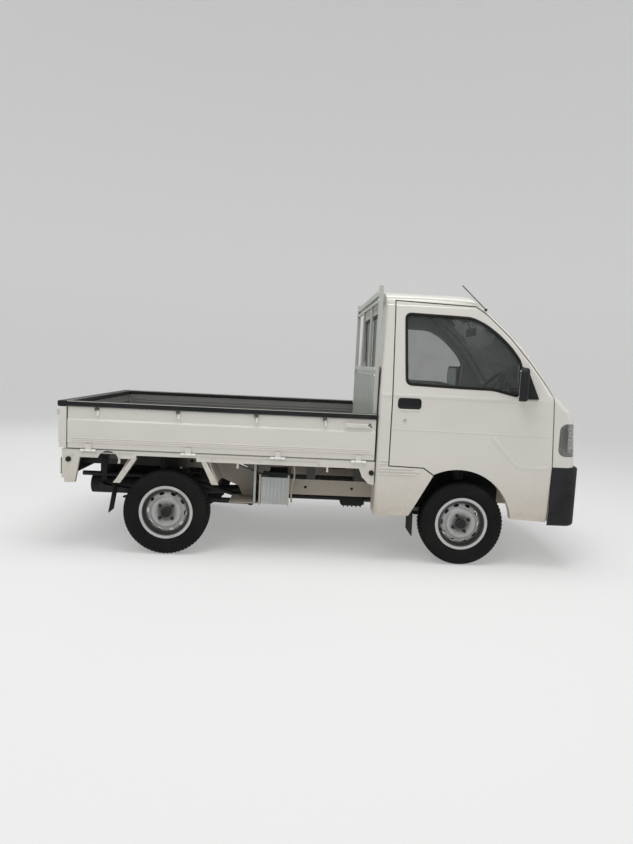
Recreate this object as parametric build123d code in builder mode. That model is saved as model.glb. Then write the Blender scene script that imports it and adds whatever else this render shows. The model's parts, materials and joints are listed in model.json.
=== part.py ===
from build123d import *

import os
from math import cos, radians, sin

# A kei truck: a small right-hand-drive cab-over truck with a flat load bed.
# Frame: +X forward, +Y to the left, +Z up. The origin is on the ground, half way along and across the truck.

# Driving dimensions, in millimetres
WHEELBASE = 1900
FRONT_OVERHANG = 805
REAR_OVERHANG = 690
BODY_WIDTH = 1475
ROOF_HEIGHT = 1780
TRACK = 1300
RUNNING_GAP = 6
PIN_PLAY = 0.05

LENGTH = FRONT_OVERHANG + WHEELBASE + REAR_OVERHANG
NOSE_X = LENGTH / 2
TAIL_X = -LENGTH / 2
FRONT_AXLE_X = NOSE_X - FRONT_OVERHANG
REAR_AXLE_X = TAIL_X + REAR_OVERHANG
HALF_WIDTH = BODY_WIDTH / 2
WHEEL_Y = TRACK / 2

# Wheels
TYRE_RADIUS = 271
TYRE_WIDTH = 145
TREAD_WIDTH = 104
RIM_LIP_RADIUS = 170
RIM_SEAT_RADIUS = 152
RIM_WIDTH = 108
RIM_WALL = 4
WHEEL_SLOTS = 10
SLOT_RADIUS = 119
SLOT_LENGTH = 34
SLOT_DEPTH = 17
DRUM_RADIUS = 104
DRUM_DEPTH = 78
HUB_INSET = 9
SPINDLE_RADIUS = 20
AXLE_Z = TYRE_RADIUS

# Cab
CAB_BEHIND_AXLE = 578
CAB_WALL = 45
ROOF_WALL = 32
CAB_BOTTOM_Z = 316
CAB_FRONT_BOW = 78
CAB_FRONT_RADIUS = 62
CAB_REAR_RADIUS = 24
BELT_Z = 1086
CAB_REAR_X = FRONT_AXLE_X - CAB_BEHIND_AXLE
CAB_INNER_Y = HALF_WIDTH - CAB_WALL

# Doors, windows and lamps
DOOR_REAR_X = CAB_REAR_X + 83
DOOR_FRONT_X = NOSE_X - 257
DOOR_SILL_Z = 639
DOOR_BOTTOM_Z = 309
DOOR_GAP = 7.5
DOOR_DEPTH = CAB_WALL + 4
DOOR_INNER_REACH = 540
ARCH_TOP_Z = 627
GLASS_WALL = 5
GLASS_INSET = 12
WINDSCREEN_FOOT_Z = BELT_Z + 64
WINDSCREEN_SILL = 20
LAMP_BOTTOM_Z = 737
LAMP_TOP_Z = 956
LAMP_INNER_Y = 452
LAMP_DEPTH = 40
LAMP_REAR_X = NOSE_X - 224
LAMP_REAR_ROUND = 48

# Cab floor and seats
RAIL_TOP_Z = 463
FLOOR_WALL = 27
SEAT_BASE_Z = 690
WHEELHOUSE_REACH = 322
SEAT_Y = 330
SEAT_WIDTH = 470
CUSHION_HEIGHT = 100
STEERING_CENTRE = (FRONT_AXLE_X + 220, -SEAT_Y, 1120)
STEERING_TILT = 40
STEERING_RADIUS = 182
STEERING_GRIP = 13

# Frame rails
RAIL_INNER_Y = 355
RAIL_WIDTH = 50
RAIL_HEIGHT = 106
RAIL_OUTER_Y = RAIL_INNER_Y + RAIL_WIDTH
REAR_RAIL_TOP_Z = 600
REAR_RAIL_HEIGHT = 85

# Load bed
DECK_Z = 655
DECK_WALL = 15
HEADBOARD_DEPTH = 26
HEADBOARD_GAP = 8
HEADBOARD_TOP_Z = 1763
HEADBOARD_X = CAB_REAR_X - HEADBOARD_GAP - HEADBOARD_DEPTH
POST_OUTER_Y = HALF_WIDTH - 51
GATE_THICKNESS = 30
GATE_BOTTOM_Z = 665
GATE_TOP_Z = 957
GATE_OUTER_Y = HALF_WIDTH - 9.5
GATE_INNER_Y = GATE_OUTER_Y - GATE_THICKNESS
TAILGATE_THICKNESS = 48
TAILGATE_OUTER_X = TAIL_X + 22
TAILGATE_INNER_X = TAILGATE_OUTER_X + TAILGATE_THICKNESS
HINGE_Z = DECK_Z - 2
HINGE_RADIUS = 6.5
HINGE_PIN_RADIUS = 3.5
HINGE_LENGTH = 95
HINGE_OFFSET = 3
SILL_OUTER_Y = GATE_OUTER_Y - 10
SILL_WALL = 28
SILL_BOTTOM_Z = 607
REAR_PANEL_X = TAILGATE_OUTER_X + 18
REAR_PANEL_WALL = 22
REAR_PANEL_BOTTOM_Z = 472
BEAM_HEIGHT = 40
BEAM_WIDTH = 60

# Number plate holes
PLATE_HOLE_SPACING = 210
PLATE_HOLE_RADIUS = 3.5

SIDES = (("right", -1), ("left", 1))

os.makedirs("parts", exist_ok=True)


def block(x_range, y_range, z_range, mode=Mode.ADD):
    """A box between two places along each axis."""
    sizes = [abs(high - low) for low, high in (x_range, y_range, z_range)]
    centre = [(low + high) / 2 for low, high in (x_range, y_range, z_range)]
    with Locations(tuple(centre)):
        Box(*sizes, mode=mode)


def rod(start, end, radius, mode=Mode.ADD):
    """A round bar from one point to another."""
    along = Vector(*end) - Vector(*start)
    with Locations(Plane(origin=start, z_dir=along)):
        Cylinder(radius, along.length, align=(Align.CENTER, Align.CENTER, Align.MIN), mode=mode)


def side_prism(points, y_range, mode=Mode.ADD):
    """A plate with the given outline in side view, between two places across the truck."""
    low, high = sorted(y_range)
    with BuildSketch(Plane.XZ.offset(-high)) as outline:
        with BuildLine():
            Polyline(*points, close=True)
        make_face()
    extrude(outline.sketch, amount=high - low, mode=mode)


def save(piece, name):
    """Labels a finished piece and writes it under its name."""
    piece.part.label = name
    export_step(piece.part, f"parts/{name}.step")


# The cab's level outlines. Columns: height, distance behind the nose, half width, how far the rear leans in.
CAB_SECTIONS = (
    (288, 29, HALF_WIDTH - 15, 0),
    (365, 28, HALF_WIDTH - 4, 0),
    (640, 25, HALF_WIDTH, 0),
    (960, 52, HALF_WIDTH, 0),
    (1023, 76, HALF_WIDTH, 0),
    (BELT_Z, 142, HALF_WIDTH - 2, 0),
    (BELT_Z + 44, 200, HALF_WIDTH - 9, 2),
    (BELT_Z + 154, 270, HALF_WIDTH - 26, 5),
    (ROOF_HEIGHT - 375, 397, HALF_WIDTH - 52, 10),
    (ROOF_HEIGHT - 260, 510, HALF_WIDTH - 70, 13),
    (ROOF_HEIGHT - 158, 629, HALF_WIDTH - 86, 15),
    (ROOF_HEIGHT - 90, 713, HALF_WIDTH - 97, 17),
    (ROOF_HEIGHT - 45, 800, HALF_WIDTH - 104, 19),
    (ROOF_HEIGHT - 10, 930, HALF_WIDTH - 110, 21),
    (ROOF_HEIGHT + 20, 1100, HALF_WIDTH - 114, 23),
)


def cab_outline(height, nose_back, half_width, rear_in, inset):
    """One level outline of the cab: straight sides, a bowed front and round corners."""
    bow = CAB_FRONT_BOW * (half_width / HALF_WIDTH) ** 2
    front_x = NOSE_X - nose_back - inset
    rear_x = CAB_REAR_X + rear_in + inset
    side_y = half_width - inset
    with BuildSketch(Plane.XY.offset(height)) as outline:
        with BuildLine():
            bow_x = front_x - bow
            Polyline((bow_x, -side_y), (rear_x, -side_y), (rear_x, side_y), (bow_x, side_y))
            ThreePointArc((bow_x, side_y), (front_x, 0), (bow_x, -side_y))
        make_face()
        fillet(outline.vertices().group_by(Axis.X)[0], CAB_REAR_RADIUS)
        fillet(outline.vertices().group_by(Axis.X)[-1], max(CAB_FRONT_RADIUS - inset / 2, 30))
    return outline.sketch


def cab_volume(inset, roof_inset):
    """The cab as one closed form, or the same form drawn in on every side."""
    outlines = [cab_outline(*row, inset) for row in CAB_SECTIONS]
    crown_z = ROOF_HEIGHT - roof_inset
    with BuildPart() as volume:
        loft(outlines, ruled=True)
        with BuildSketch(Plane.YZ) as crown:
            with BuildLine():
                shoulder_y = HALF_WIDTH - 175 - inset / 2
                rail_y = HALF_WIDTH - 96 - inset
                wide_y = HALF_WIDTH + 200
                shoulder_z = crown_z - 50
                haunch_z = crown_z - 76
                rail_z = crown_z - 125
                ThreePointArc((-shoulder_y, shoulder_z), (0, crown_z), (shoulder_y, shoulder_z))
                ThreePointArc((shoulder_y, shoulder_z), (rail_y - 22, haunch_z), (rail_y, rail_z))
                Polyline((rail_y, rail_z), (wide_y, crown_z - 400), (wide_y, 0), (-wide_y, 0),
                         (-wide_y, crown_z - 400), (-rail_y, rail_z))
                ThreePointArc((-rail_y, rail_z), (22 - rail_y, haunch_z), (-shoulder_y, shoulder_z))
            make_face()
        extrude(amount=2 * LENGTH, both=True, mode=Mode.INTERSECT)
    return volume.part


cab_outer = cab_volume(0, 0)
cab_inner = cab_volume(CAB_WALL, ROOF_WALL)
with BuildPart() as cab_shell:
    add(cab_outer)
    add(cab_inner, mode=Mode.SUBTRACT)


def door_outline(grow=0):
    """The door in side view: over the wheel arch, down to the sill in front of it."""
    with BuildSketch(Plane.XZ) as outline:
        with BuildLine():
            Polyline(
                (FRONT_AXLE_X - 208, ARCH_TOP_Z - 37), (FRONT_AXLE_X - 274, DOOR_SILL_Z - 5),
                (DOOR_REAR_X, DOOR_SILL_Z), (DOOR_REAR_X, ROOF_HEIGHT - 102),
                (NOSE_X - 792, ROOF_HEIGHT - 117), (NOSE_X - 712, ROOF_HEIGHT - 170),
                (NOSE_X - 567, ROOF_HEIGHT - 302), (NOSE_X - 432, ROOF_HEIGHT - 458),
                (NOSE_X - 280, BELT_Z + 39), (DOOR_FRONT_X, DOOR_BOTTOM_Z + 354),
                (DOOR_FRONT_X - 8, DOOR_BOTTOM_Z), (FRONT_AXLE_X + 308, DOOR_BOTTOM_Z + 13),
            )
            ThreePointArc(
                (FRONT_AXLE_X + 308, DOOR_BOTTOM_Z + 13), (FRONT_AXLE_X - 8, ARCH_TOP_Z),
                (FRONT_AXLE_X - 208, ARCH_TOP_Z - 37),
            )
        make_face()
        if grow:
            offset(amount=grow, kind=Kind.INTERSECTION)
    return outline.sketch


def window_outline(shrink=0):
    """The door's window in side view."""
    with BuildSketch(Plane.XZ) as outline:
        with BuildLine():
            Polyline(
                (DOOR_REAR_X + 70, ROOF_HEIGHT - 182), (DOOR_REAR_X + 87, BELT_Z + 75),
                (NOSE_X - 669, BELT_Z + 66), (NOSE_X - 502, BELT_Z + 27),
                (NOSE_X - 496, ROOF_HEIGHT - 457),
            )
            ThreePointArc(
                (NOSE_X - 496, ROOF_HEIGHT - 457), (NOSE_X - 640, ROOF_HEIGHT - 295),
                (NOSE_X - 815, ROOF_HEIGHT - 194),
            )
            Line((NOSE_X - 815, ROOF_HEIGHT - 194), (DOOR_REAR_X + 70, ROOF_HEIGHT - 182))
        make_face()
        fillet(outline.vertices().sort_by(Axis.X)[:2], 28)
        if shrink:
            offset(amount=-shrink, kind=Kind.INTERSECTION)
    return outline.sketch


def across(outline, sign, reach=DOOR_INNER_REACH):
    """A side view outline, made solid from well inside the cab to outside it on one side."""
    with BuildPart() as prism:
        with BuildSketch(Plane.XZ.offset(-sign * reach)):
            add(outline)
        extrude(amount=-sign * (HALF_WIDTH + 60 - reach))
    return prism.part


def side_core(depth):
    """What lies deeper than a given depth behind the cab's two side faces."""
    levels = []
    for height, _, half_width, _ in CAB_SECTIONS:
        with BuildSketch(Plane.XY.offset(height)) as level:
            with Locations(((NOSE_X + CAB_REAR_X) / 2, 0)):
                Rectangle(2 * (NOSE_X - CAB_REAR_X), 2 * (half_width - depth))
        levels.append(level.sketch)
    with BuildPart() as core:
        loft(levels, ruled=True)
    return core.part


def door_opening(sign):
    """What the cab leaves free for a door: its outline, a gap deeper than the door's edges."""
    with BuildPart() as opening:
        add(across(door_outline(DOOR_GAP), sign))
        add(side_core(DOOR_DEPTH + DOOR_GAP), mode=Mode.SUBTRACT)
    return opening.part


def windscreen_prism(shrink=0):
    """The windscreen's outline in front view, made solid along the truck."""
    with BuildPart() as prism:
        with BuildSketch(Plane.YZ.offset(NOSE_X - 900)) as outline:
            with BuildLine():
                foot_y = HALF_WIDTH - 86
                head_y = HALF_WIDTH - 168
                head_z = ROOF_HEIGHT - 128
                Polyline((-foot_y, WINDSCREEN_FOOT_Z), (-head_y, head_z), (head_y, head_z),
                         (foot_y, WINDSCREEN_FOOT_Z), close=True)
            make_face()
            fillet(outline.vertices(), 40)
            if shrink:
                offset(amount=-shrink, kind=Kind.INTERSECTION)
        extrude(amount=900)
    return prism.part


glass_outer = cab_volume(GLASS_INSET, GLASS_INSET)
glass_inner = cab_volume(GLASS_INSET + GLASS_WALL, GLASS_INSET + GLASS_WALL)
with BuildPart() as glass_shell:
    add(glass_outer)
    add(glass_inner, mode=Mode.SUBTRACT)


def glass_skin(prism):
    """A thin pane that follows the cab's own surface inside an outline."""
    with BuildPart() as pane:
        add(glass_shell.part)
        add(prism, mode=Mode.INTERSECT)
    return pane.part


# Door hinges: each pin stands in a lug on an arm from inside the front panel, in a pocket of the door
DOOR_HINGE_X = DOOR_FRONT_X - 26
DOOR_HINGE_Y = HALF_WIDTH - 9.5
DOOR_HINGE_HEIGHTS = (440, 738)
DOOR_LUG_RADIUS = 5
DOOR_LUG_HALF = 14
DOOR_PIN_RADIUS = 3
DOOR_PIN_HALF = 34
DOOR_ARM_Y = CAB_INNER_Y - 13


def door_pin(sign, height, radius, half):
    """A round bar on a door's hinge axis."""
    foot = (DOOR_HINGE_X, sign * DOOR_HINGE_Y, height - half)
    head = (DOOR_HINGE_X, sign * DOOR_HINGE_Y, height + half)
    rod(foot, head, radius)


def door_hinge_arms(sign):
    """The fixed part of a door's two hinges."""
    with BuildPart() as arms:
        for height in DOOR_HINGE_HEIGHTS:
            z_range = (height - DOOR_LUG_HALF, height + DOOR_LUG_HALF)
            door_pin(sign, height, DOOR_LUG_RADIUS, DOOR_LUG_HALF)
            door_pin(sign, height, DOOR_PIN_RADIUS, DOOR_PIN_HALF)
            block((DOOR_HINGE_X - DOOR_LUG_RADIUS, DOOR_HINGE_X + DOOR_LUG_RADIUS),
                  (sign * DOOR_ARM_Y, sign * DOOR_HINGE_Y), z_range)
            block((DOOR_HINGE_X - DOOR_LUG_RADIUS, DOOR_FRONT_X + 34),
                  (sign * DOOR_ARM_Y, sign * (CAB_INNER_Y + 2)), z_range)
    return arms.part


def door_hinge_room(sign):
    """What a door leaves free for its two hinges."""
    with BuildPart() as room:
        for height in DOOR_HINGE_HEIGHTS:
            door_pin(sign, height, DOOR_PIN_RADIUS + PIN_PLAY, DOOR_PIN_HALF + 1)
            block((DOOR_HINGE_X - 9, DOOR_FRONT_X + 5),
                  (sign * (CAB_INNER_Y - 8), sign * (DOOR_HINGE_Y + DOOR_LUG_RADIUS + 0.5)),
                  (height - DOOR_LUG_HALF - 5, height + DOOR_LUG_HALF + 5))
    return room.part


# Cab panels
PILLAR_SEAM_Z = WINDSCREEN_FOOT_Z - WINDSCREEN_SILL
RAIL_SEAM_Z = ROOF_HEIGHT - 90
BACK_HALF_WIDTH = HALF_WIDTH - 176

with BuildPart() as cab_back:
    add(cab_shell.part)
    block((CAB_REAR_X - 10, CAB_REAR_X + CAB_WALL + 25), (-BACK_HALF_WIDTH, BACK_HALF_WIDTH),
          (RAIL_TOP_Z, RAIL_SEAM_Z), mode=Mode.INTERSECT)
    with BuildSketch(Plane.YZ.offset(CAB_REAR_X - 20)):
        with Locations((0, ROOF_HEIGHT - 350)):
            RectangleRounded(1000, 350, 50)
    extrude(amount=CAB_WALL + 60, mode=Mode.SUBTRACT)
save(cab_back, "cab_back_panel")

with BuildPart() as rear_window:
    with BuildSketch(Plane.YZ.offset(CAB_REAR_X + CAB_WALL / 2)):
        with Locations((0, ROOF_HEIGHT - 350)):
            RectangleRounded(1000, 350, 50)
    extrude(amount=GLASS_WALL)
save(rear_window, "rear_window")

for side, sign in SIDES:
    with BuildPart() as cab_side:
        add(cab_shell.part)
        with BuildSketch(Plane.XZ.offset(-sign * BACK_HALF_WIDTH)):
            with BuildLine():
                Polyline(
                    (CAB_REAR_X - 60, CAB_BOTTOM_Z), (FRONT_AXLE_X - 354, CAB_BOTTOM_Z),
                    (FRONT_AXLE_X - 205, ARCH_TOP_Z - 34), (FRONT_AXLE_X - 205, DOOR_SILL_Z + 60),
                    (DOOR_REAR_X + 20, DOOR_SILL_Z + 60), (DOOR_REAR_X + 20, RAIL_SEAM_Z),
                    (CAB_REAR_X - 60, RAIL_SEAM_Z), close=True,
                )
            make_face()
        extrude(amount=-sign * 300, mode=Mode.INTERSECT)
        add(door_opening(sign), mode=Mode.SUBTRACT)
    save(cab_side, f"cab_side_{side}")

with BuildPart() as cab_roof:
    add(cab_shell.part)
    block((CAB_REAR_X - 60, NOSE_X + 60), (-HALF_WIDTH, HALF_WIDTH), (PILLAR_SEAM_Z, ROOF_HEIGHT + 60),
          mode=Mode.INTERSECT)
    block((CAB_REAR_X - 60, DOOR_REAR_X + 20), (-HALF_WIDTH, HALF_WIDTH), (PILLAR_SEAM_Z - 10, RAIL_SEAM_Z),
          mode=Mode.SUBTRACT)
    for side, sign in SIDES:
        add(door_opening(sign), mode=Mode.SUBTRACT)
    add(windscreen_prism(), mode=Mode.SUBTRACT)
save(cab_roof, "cab_roof")

with BuildPart() as windscreen:
    add(glass_skin(windscreen_prism(1)))
save(windscreen, "windscreen")

with BuildPart() as lamp_zone:
    for side, sign in SIDES:
        with BuildSketch(Plane.YZ.offset(LAMP_REAR_X)) as lamp_outline:
            with BuildLine():
                inner_y = sign * LAMP_INNER_Y
                outer_y = sign * (HALF_WIDTH + 60)
                Polyline((inner_y, LAMP_BOTTOM_Z + 22), (outer_y, LAMP_BOTTOM_Z), (outer_y, LAMP_TOP_Z),
                         (inner_y + sign * 30, LAMP_TOP_Z - 22), close=True)
            make_face()
            fillet(lamp_outline.vertices().group_by(Axis.X)[-1 if sign < 0 else 0], 18)
        extrude(amount=NOSE_X + 60 - LAMP_REAR_X)
    rear_edges = lamp_zone.edges().group_by(Axis.X)[0].sort_by(Axis.Z)
    fillet(rear_edges[:2] + rear_edges[-2:], LAMP_REAR_ROUND)

with BuildPart() as cab_front:
    add(cab_shell.part)
    block((DOOR_FRONT_X - 150, NOSE_X + 60), (-HALF_WIDTH, HALF_WIDTH), (CAB_BOTTOM_Z, PILLAR_SEAM_Z),
          mode=Mode.INTERSECT)
    for side, sign in SIDES:
        add(door_opening(sign), mode=Mode.SUBTRACT)
        add(door_hinge_arms(sign))
    add(lamp_zone.part, mode=Mode.SUBTRACT)
save(cab_front, "cab_front_panel")

with BuildPart() as headlamps:
    add(cab_outer)
    add(cab_volume(LAMP_DEPTH, LAMP_DEPTH), mode=Mode.SUBTRACT)
    add(lamp_zone.part, mode=Mode.INTERSECT)
save(headlamps, "headlamps")

# Doors
for side, sign in SIDES:
    with BuildPart() as door:
        add(cab_shell.part)
        add(across(door_outline(), sign), mode=Mode.INTERSECT)
        add(side_core(DOOR_DEPTH), mode=Mode.SUBTRACT)
        add(across(window_outline(), sign), mode=Mode.SUBTRACT)
        add(door_hinge_room(sign), mode=Mode.SUBTRACT)
    save(door, f"door_{side}")
    with BuildPart() as door_glass:
        add(glass_skin(across(window_outline(1), sign)))
    save(door_glass, f"door_glass_{side}")

# Door mirrors. Each head is turned toward the driver, in degrees.
# Columns of the head: height, forward place, distance out, size along, size across, size up.
MIRROR_HEAD = (BELT_Z + 105, NOSE_X - 512, HALF_WIDTH + 95, 52, 150, 205)
MIRROR_ARM_RADIUS = 11
MIRROR_FOOT_X = NOSE_X - 470
MIRROR_FOOT_Y = HALF_WIDTH - 30
MIRROR_TURN = 20
head_z, head_x, head_y, head_depth, head_width, head_height = MIRROR_HEAD
with BuildPart() as mirror_head:
    Box(head_depth, head_width, head_height)
    fillet(mirror_head.edges().filter_by(Axis.X), 34)
    fillet(mirror_head.faces().sort_by(Axis.X)[-1].edges(), 18)

for side, sign in SIDES:
    with BuildPart() as mirror:
        with Locations(Location((head_x, sign * head_y, head_z), (0, 0, sign * MIRROR_TURN))):
            add(mirror_head.part)
        rod((head_x, sign * head_y, head_z), (MIRROR_FOOT_X, sign * MIRROR_FOOT_Y, head_z), MIRROR_ARM_RADIUS)
        side_prism(
            [(NOSE_X - 497, BELT_Z + 12), (NOSE_X - 380, BELT_Z + 14), (NOSE_X - 455, BELT_Z + 180),
             (NOSE_X - 497, BELT_Z + 215)],
            (sign * (HALF_WIDTH - 60), sign * (HALF_WIDTH + 14)),
        )
        add(cab_outer, mode=Mode.SUBTRACT)
    save(mirror, f"mirror_{side}")

# Front bumper: a bowed skin ahead of the cab, with an air slot and a flat pad for the number plate
BUMPER_TOP_Z = 674
BUMPER_BOTTOM_Z = 288
BUMPER_SKIN = 5
BUMPER_TOP_ROUND = 14
BUMPER_FOOT_ROUND = 24
BUMPER_REAR_X = NOSE_X - 255
PLATE_PAD_Z = 470
PAD_WIDTH = 350
PAD_HEIGHT = 120
with BuildPart() as front_bumper:
    with BuildSketch(Plane.XY.offset(BUMPER_BOTTOM_Z)) as bumper_outline:
        with BuildLine():
            bumper_y = HALF_WIDTH + BUMPER_SKIN
            bow_x = NOSE_X - CAB_FRONT_BOW - 2
            Polyline((bow_x, -bumper_y), (BUMPER_REAR_X, -bumper_y),
                     (BUMPER_REAR_X, bumper_y), (bow_x, bumper_y))
            ThreePointArc((bow_x, bumper_y), (NOSE_X - 2, 0), (bow_x, -bumper_y))
        make_face()
        fillet(bumper_outline.vertices().group_by(Axis.X)[-1], 72)
    extrude(amount=BUMPER_TOP_Z - BUMPER_BOTTOM_Z)
    fillet(front_bumper.edges().group_by(Axis.Z)[-1].sort_by(Axis.X)[-1:], BUMPER_TOP_ROUND)
    fillet(front_bumper.edges().group_by(Axis.Z)[0].sort_by(Axis.X)[-1:], BUMPER_FOOT_ROUND)
    add(cab_outer, mode=Mode.SUBTRACT)
    block((NOSE_X - 12, NOSE_X), (-PAD_WIDTH / 2, PAD_WIDTH / 2),
          (PLATE_PAD_Z - PAD_HEIGHT / 2, PLATE_PAD_Z + PAD_HEIGHT / 2))
    with Locations(Plane(origin=(NOSE_X, 0, PLATE_PAD_Z), x_dir=(0, 1, 0), z_dir=(1, 0, 0))):
        with GridLocations(PLATE_HOLE_SPACING, 1, 2, 1):
            Hole(PLATE_HOLE_RADIUS, 12)
    block((NOSE_X - 60, NOSE_X + 5), (-420, 420), (BUMPER_BOTTOM_Z + 28, BUMPER_BOTTOM_Z + 82),
          mode=Mode.SUBTRACT)
save(front_bumper, "front_bumper")

# Aerial on the right windscreen pillar
AERIAL_RADIUS = 3
AERIAL_Y = HALF_WIDTH - 93
with BuildPart() as aerial:
    foot = (NOSE_X - 727, -AERIAL_Y, ROOF_HEIGHT - 130)
    tip = (NOSE_X - 888, -AERIAL_Y, ROOF_HEIGHT + 14)
    rod(foot, tip, AERIAL_RADIUS)
    with Locations(foot):
        Sphere(9)
    add(cab_outer, mode=Mode.SUBTRACT)
save(aerial, "aerial")

# Cab floor: a footwell ahead of the front wheels, and the seat base over the wheel houses and the engine
FLOOR_Y = CAB_INNER_Y - RUNNING_GAP
FOOTWELL_Y = FLOOR_Y - 10
HOUSE_FRONT_X = FRONT_AXLE_X + WHEELHOUSE_REACH
HOUSE_REAR_X = FRONT_AXLE_X - WHEELHOUSE_REACH
FLOOR_REAR_X = CAB_REAR_X + CAB_WALL
FLOOR_FRONT_X = NOSE_X - 180
with BuildPart() as cab_floor:
    block((HOUSE_FRONT_X, FLOOR_FRONT_X), (-FOOTWELL_Y, FOOTWELL_Y), (RAIL_TOP_Z, RAIL_TOP_Z + FLOOR_WALL))
    block((HOUSE_FRONT_X, HOUSE_FRONT_X + FLOOR_WALL), (-FLOOR_Y, FLOOR_Y), (RAIL_TOP_Z, SEAT_BASE_Z))
    block((FLOOR_REAR_X, HOUSE_FRONT_X + FLOOR_WALL), (-FLOOR_Y, FLOOR_Y),
          (SEAT_BASE_Z - FLOOR_WALL, SEAT_BASE_Z))
    for side, sign in SIDES:
        block((HOUSE_REAR_X - FLOOR_WALL, HOUSE_REAR_X), (sign * RAIL_OUTER_Y, sign * FLOOR_Y),
              (CAB_BOTTOM_Z + 66, SEAT_BASE_Z))
        block((HOUSE_REAR_X - FLOOR_WALL, HOUSE_FRONT_X + 1),
              (sign * (RAIL_OUTER_Y - 18), sign * RAIL_OUTER_Y), (RAIL_TOP_Z, SEAT_BASE_Z))
    fillet(cab_floor.edges().filter_by(Axis.Z).group_by(Axis.X)[0], CAB_REAR_RADIUS)
save(cab_floor, "cab_floor")

# Dashboard with the steering column
DASH_BOTTOM_Z = 790
DASH_TOP_Z = 1078
DASH_REAR_X = NOSE_X - 400
DASH_INSET = CAB_WALL + 12
COLUMN_RADIUS = 30
COLUMN_BORE = 12
steering_plane = Plane(origin=STEERING_CENTRE, x_dir=(0, 1, 0),
                       z_dir=(-cos(radians(STEERING_TILT)), 0, sin(radians(STEERING_TILT))))
with BuildPart() as dashboard:
    add(cab_volume(DASH_INSET, DASH_INSET))
    block((DASH_REAR_X, NOSE_X), (-HALF_WIDTH, HALF_WIDTH), (DASH_BOTTOM_Z, DASH_TOP_Z), mode=Mode.INTERSECT)
    fillet(dashboard.edges().filter_by(Axis.Y).group_by(Axis.X)[0], 40)
    with Locations(steering_plane.offset(-60)):
        Cylinder(COLUMN_RADIUS, 240, align=(Align.CENTER, Align.CENTER, Align.MAX))
        Cylinder(COLUMN_BORE + PIN_PLAY, 50, align=(Align.CENTER, Align.CENTER, Align.MAX),
                 mode=Mode.SUBTRACT)
save(dashboard, "dashboard")

with BuildPart() as steering_wheel:
    with Locations(steering_plane):
        Torus(STEERING_RADIUS, STEERING_GRIP)
    with Locations(steering_plane.offset(-22)):
        Cylinder(46, 34)
        Cylinder(COLUMN_BORE, 70, align=(Align.CENTER, Align.CENTER, Align.MAX))
    for turn in (15, 165, 270):
        spoke_end = steering_plane.from_local_coords((STEERING_RADIUS * cos(radians(turn)),
                                                      STEERING_RADIUS * sin(radians(turn)), 0))
        rod(steering_plane.offset(-18).origin, spoke_end, 11)
save(steering_wheel, "steering_wheel")

# Seats. Cushions and backs are padded pieces.
SEAT_FRONT_X = CAB_REAR_X + 640
SEAT_BACK_X = CAB_REAR_X + 70
with BuildPart() as seat_cushions:
    for side, sign in SIDES:
        block((SEAT_BACK_X + 60, SEAT_FRONT_X),
              (sign * SEAT_Y - SEAT_WIDTH / 2, sign * SEAT_Y + SEAT_WIDTH / 2),
              (SEAT_BASE_Z, SEAT_BASE_Z + CUSHION_HEIGHT))
    fillet(seat_cushions.edges().filter_by(Axis.Z), 45)
    fillet(seat_cushions.faces().sort_by(Axis.Z)[-2:].edges(), 22)
save(seat_cushions, "seat_cushions")

with BuildPart() as seat_backs:
    for side, sign in SIDES:
        back_z = SEAT_BASE_Z + CUSHION_HEIGHT
        side_prism(
            [(SEAT_BACK_X + 80, back_z), (SEAT_BACK_X + 185, back_z), (SEAT_BACK_X + 105, back_z + 520),
             (SEAT_BACK_X + 85, back_z + 690), (SEAT_BACK_X + 10, back_z + 690),
             (SEAT_BACK_X + 10, back_z + 520)],
            (sign * SEAT_Y - SEAT_WIDTH / 2, sign * SEAT_Y + SEAT_WIDTH / 2),
        )
        for edge in (-1, 1):
            block((SEAT_BACK_X, SEAT_BACK_X + 200),
                  (sign * SEAT_Y + edge * 120, sign * SEAT_Y + edge * SEAT_WIDTH),
                  (back_z + 520, back_z + 800), mode=Mode.SUBTRACT)
save(seat_backs, "seat_backs")

# Frame rails: low under the cab and bed, then up over the rear axle. Each carries a rear spring hanger.
KICK_TOP_X = REAR_AXLE_X + 268
KICK_FOOT_X = REAR_AXLE_X + 648
RAIL_BOTTOM_Z = RAIL_TOP_Z - RAIL_HEIGHT
RAIL_FRONT_X = NOSE_X - 200
RAIL_REAR_X = REAR_PANEL_X + REAR_PANEL_WALL
SPRING_EYE = (REAR_AXLE_X + 518, 302)
with BuildPart() as frame_rails:
    for side, sign in SIDES:
        side_prism(
            [(RAIL_FRONT_X, RAIL_BOTTOM_Z), (RAIL_FRONT_X, RAIL_TOP_Z), (KICK_FOOT_X, RAIL_TOP_Z),
             (KICK_TOP_X, REAR_RAIL_TOP_Z), (RAIL_REAR_X, REAR_RAIL_TOP_Z),
             (RAIL_REAR_X, REAR_RAIL_TOP_Z - REAR_RAIL_HEIGHT),
             (KICK_TOP_X - 93, REAR_RAIL_TOP_Z - REAR_RAIL_HEIGHT),
             (REAR_AXLE_X + 430, RAIL_BOTTOM_Z + 44), (SPRING_EYE[0] - 45, SPRING_EYE[1] - 5),
             (SPRING_EYE[0] + 16, SPRING_EYE[1] - 30), (SPRING_EYE[0] + 60, RAIL_BOTTOM_Z)],
            (sign * RAIL_INNER_Y, sign * RAIL_OUTER_Y),
        )
save(frame_rails, "frame_rails")

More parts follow.
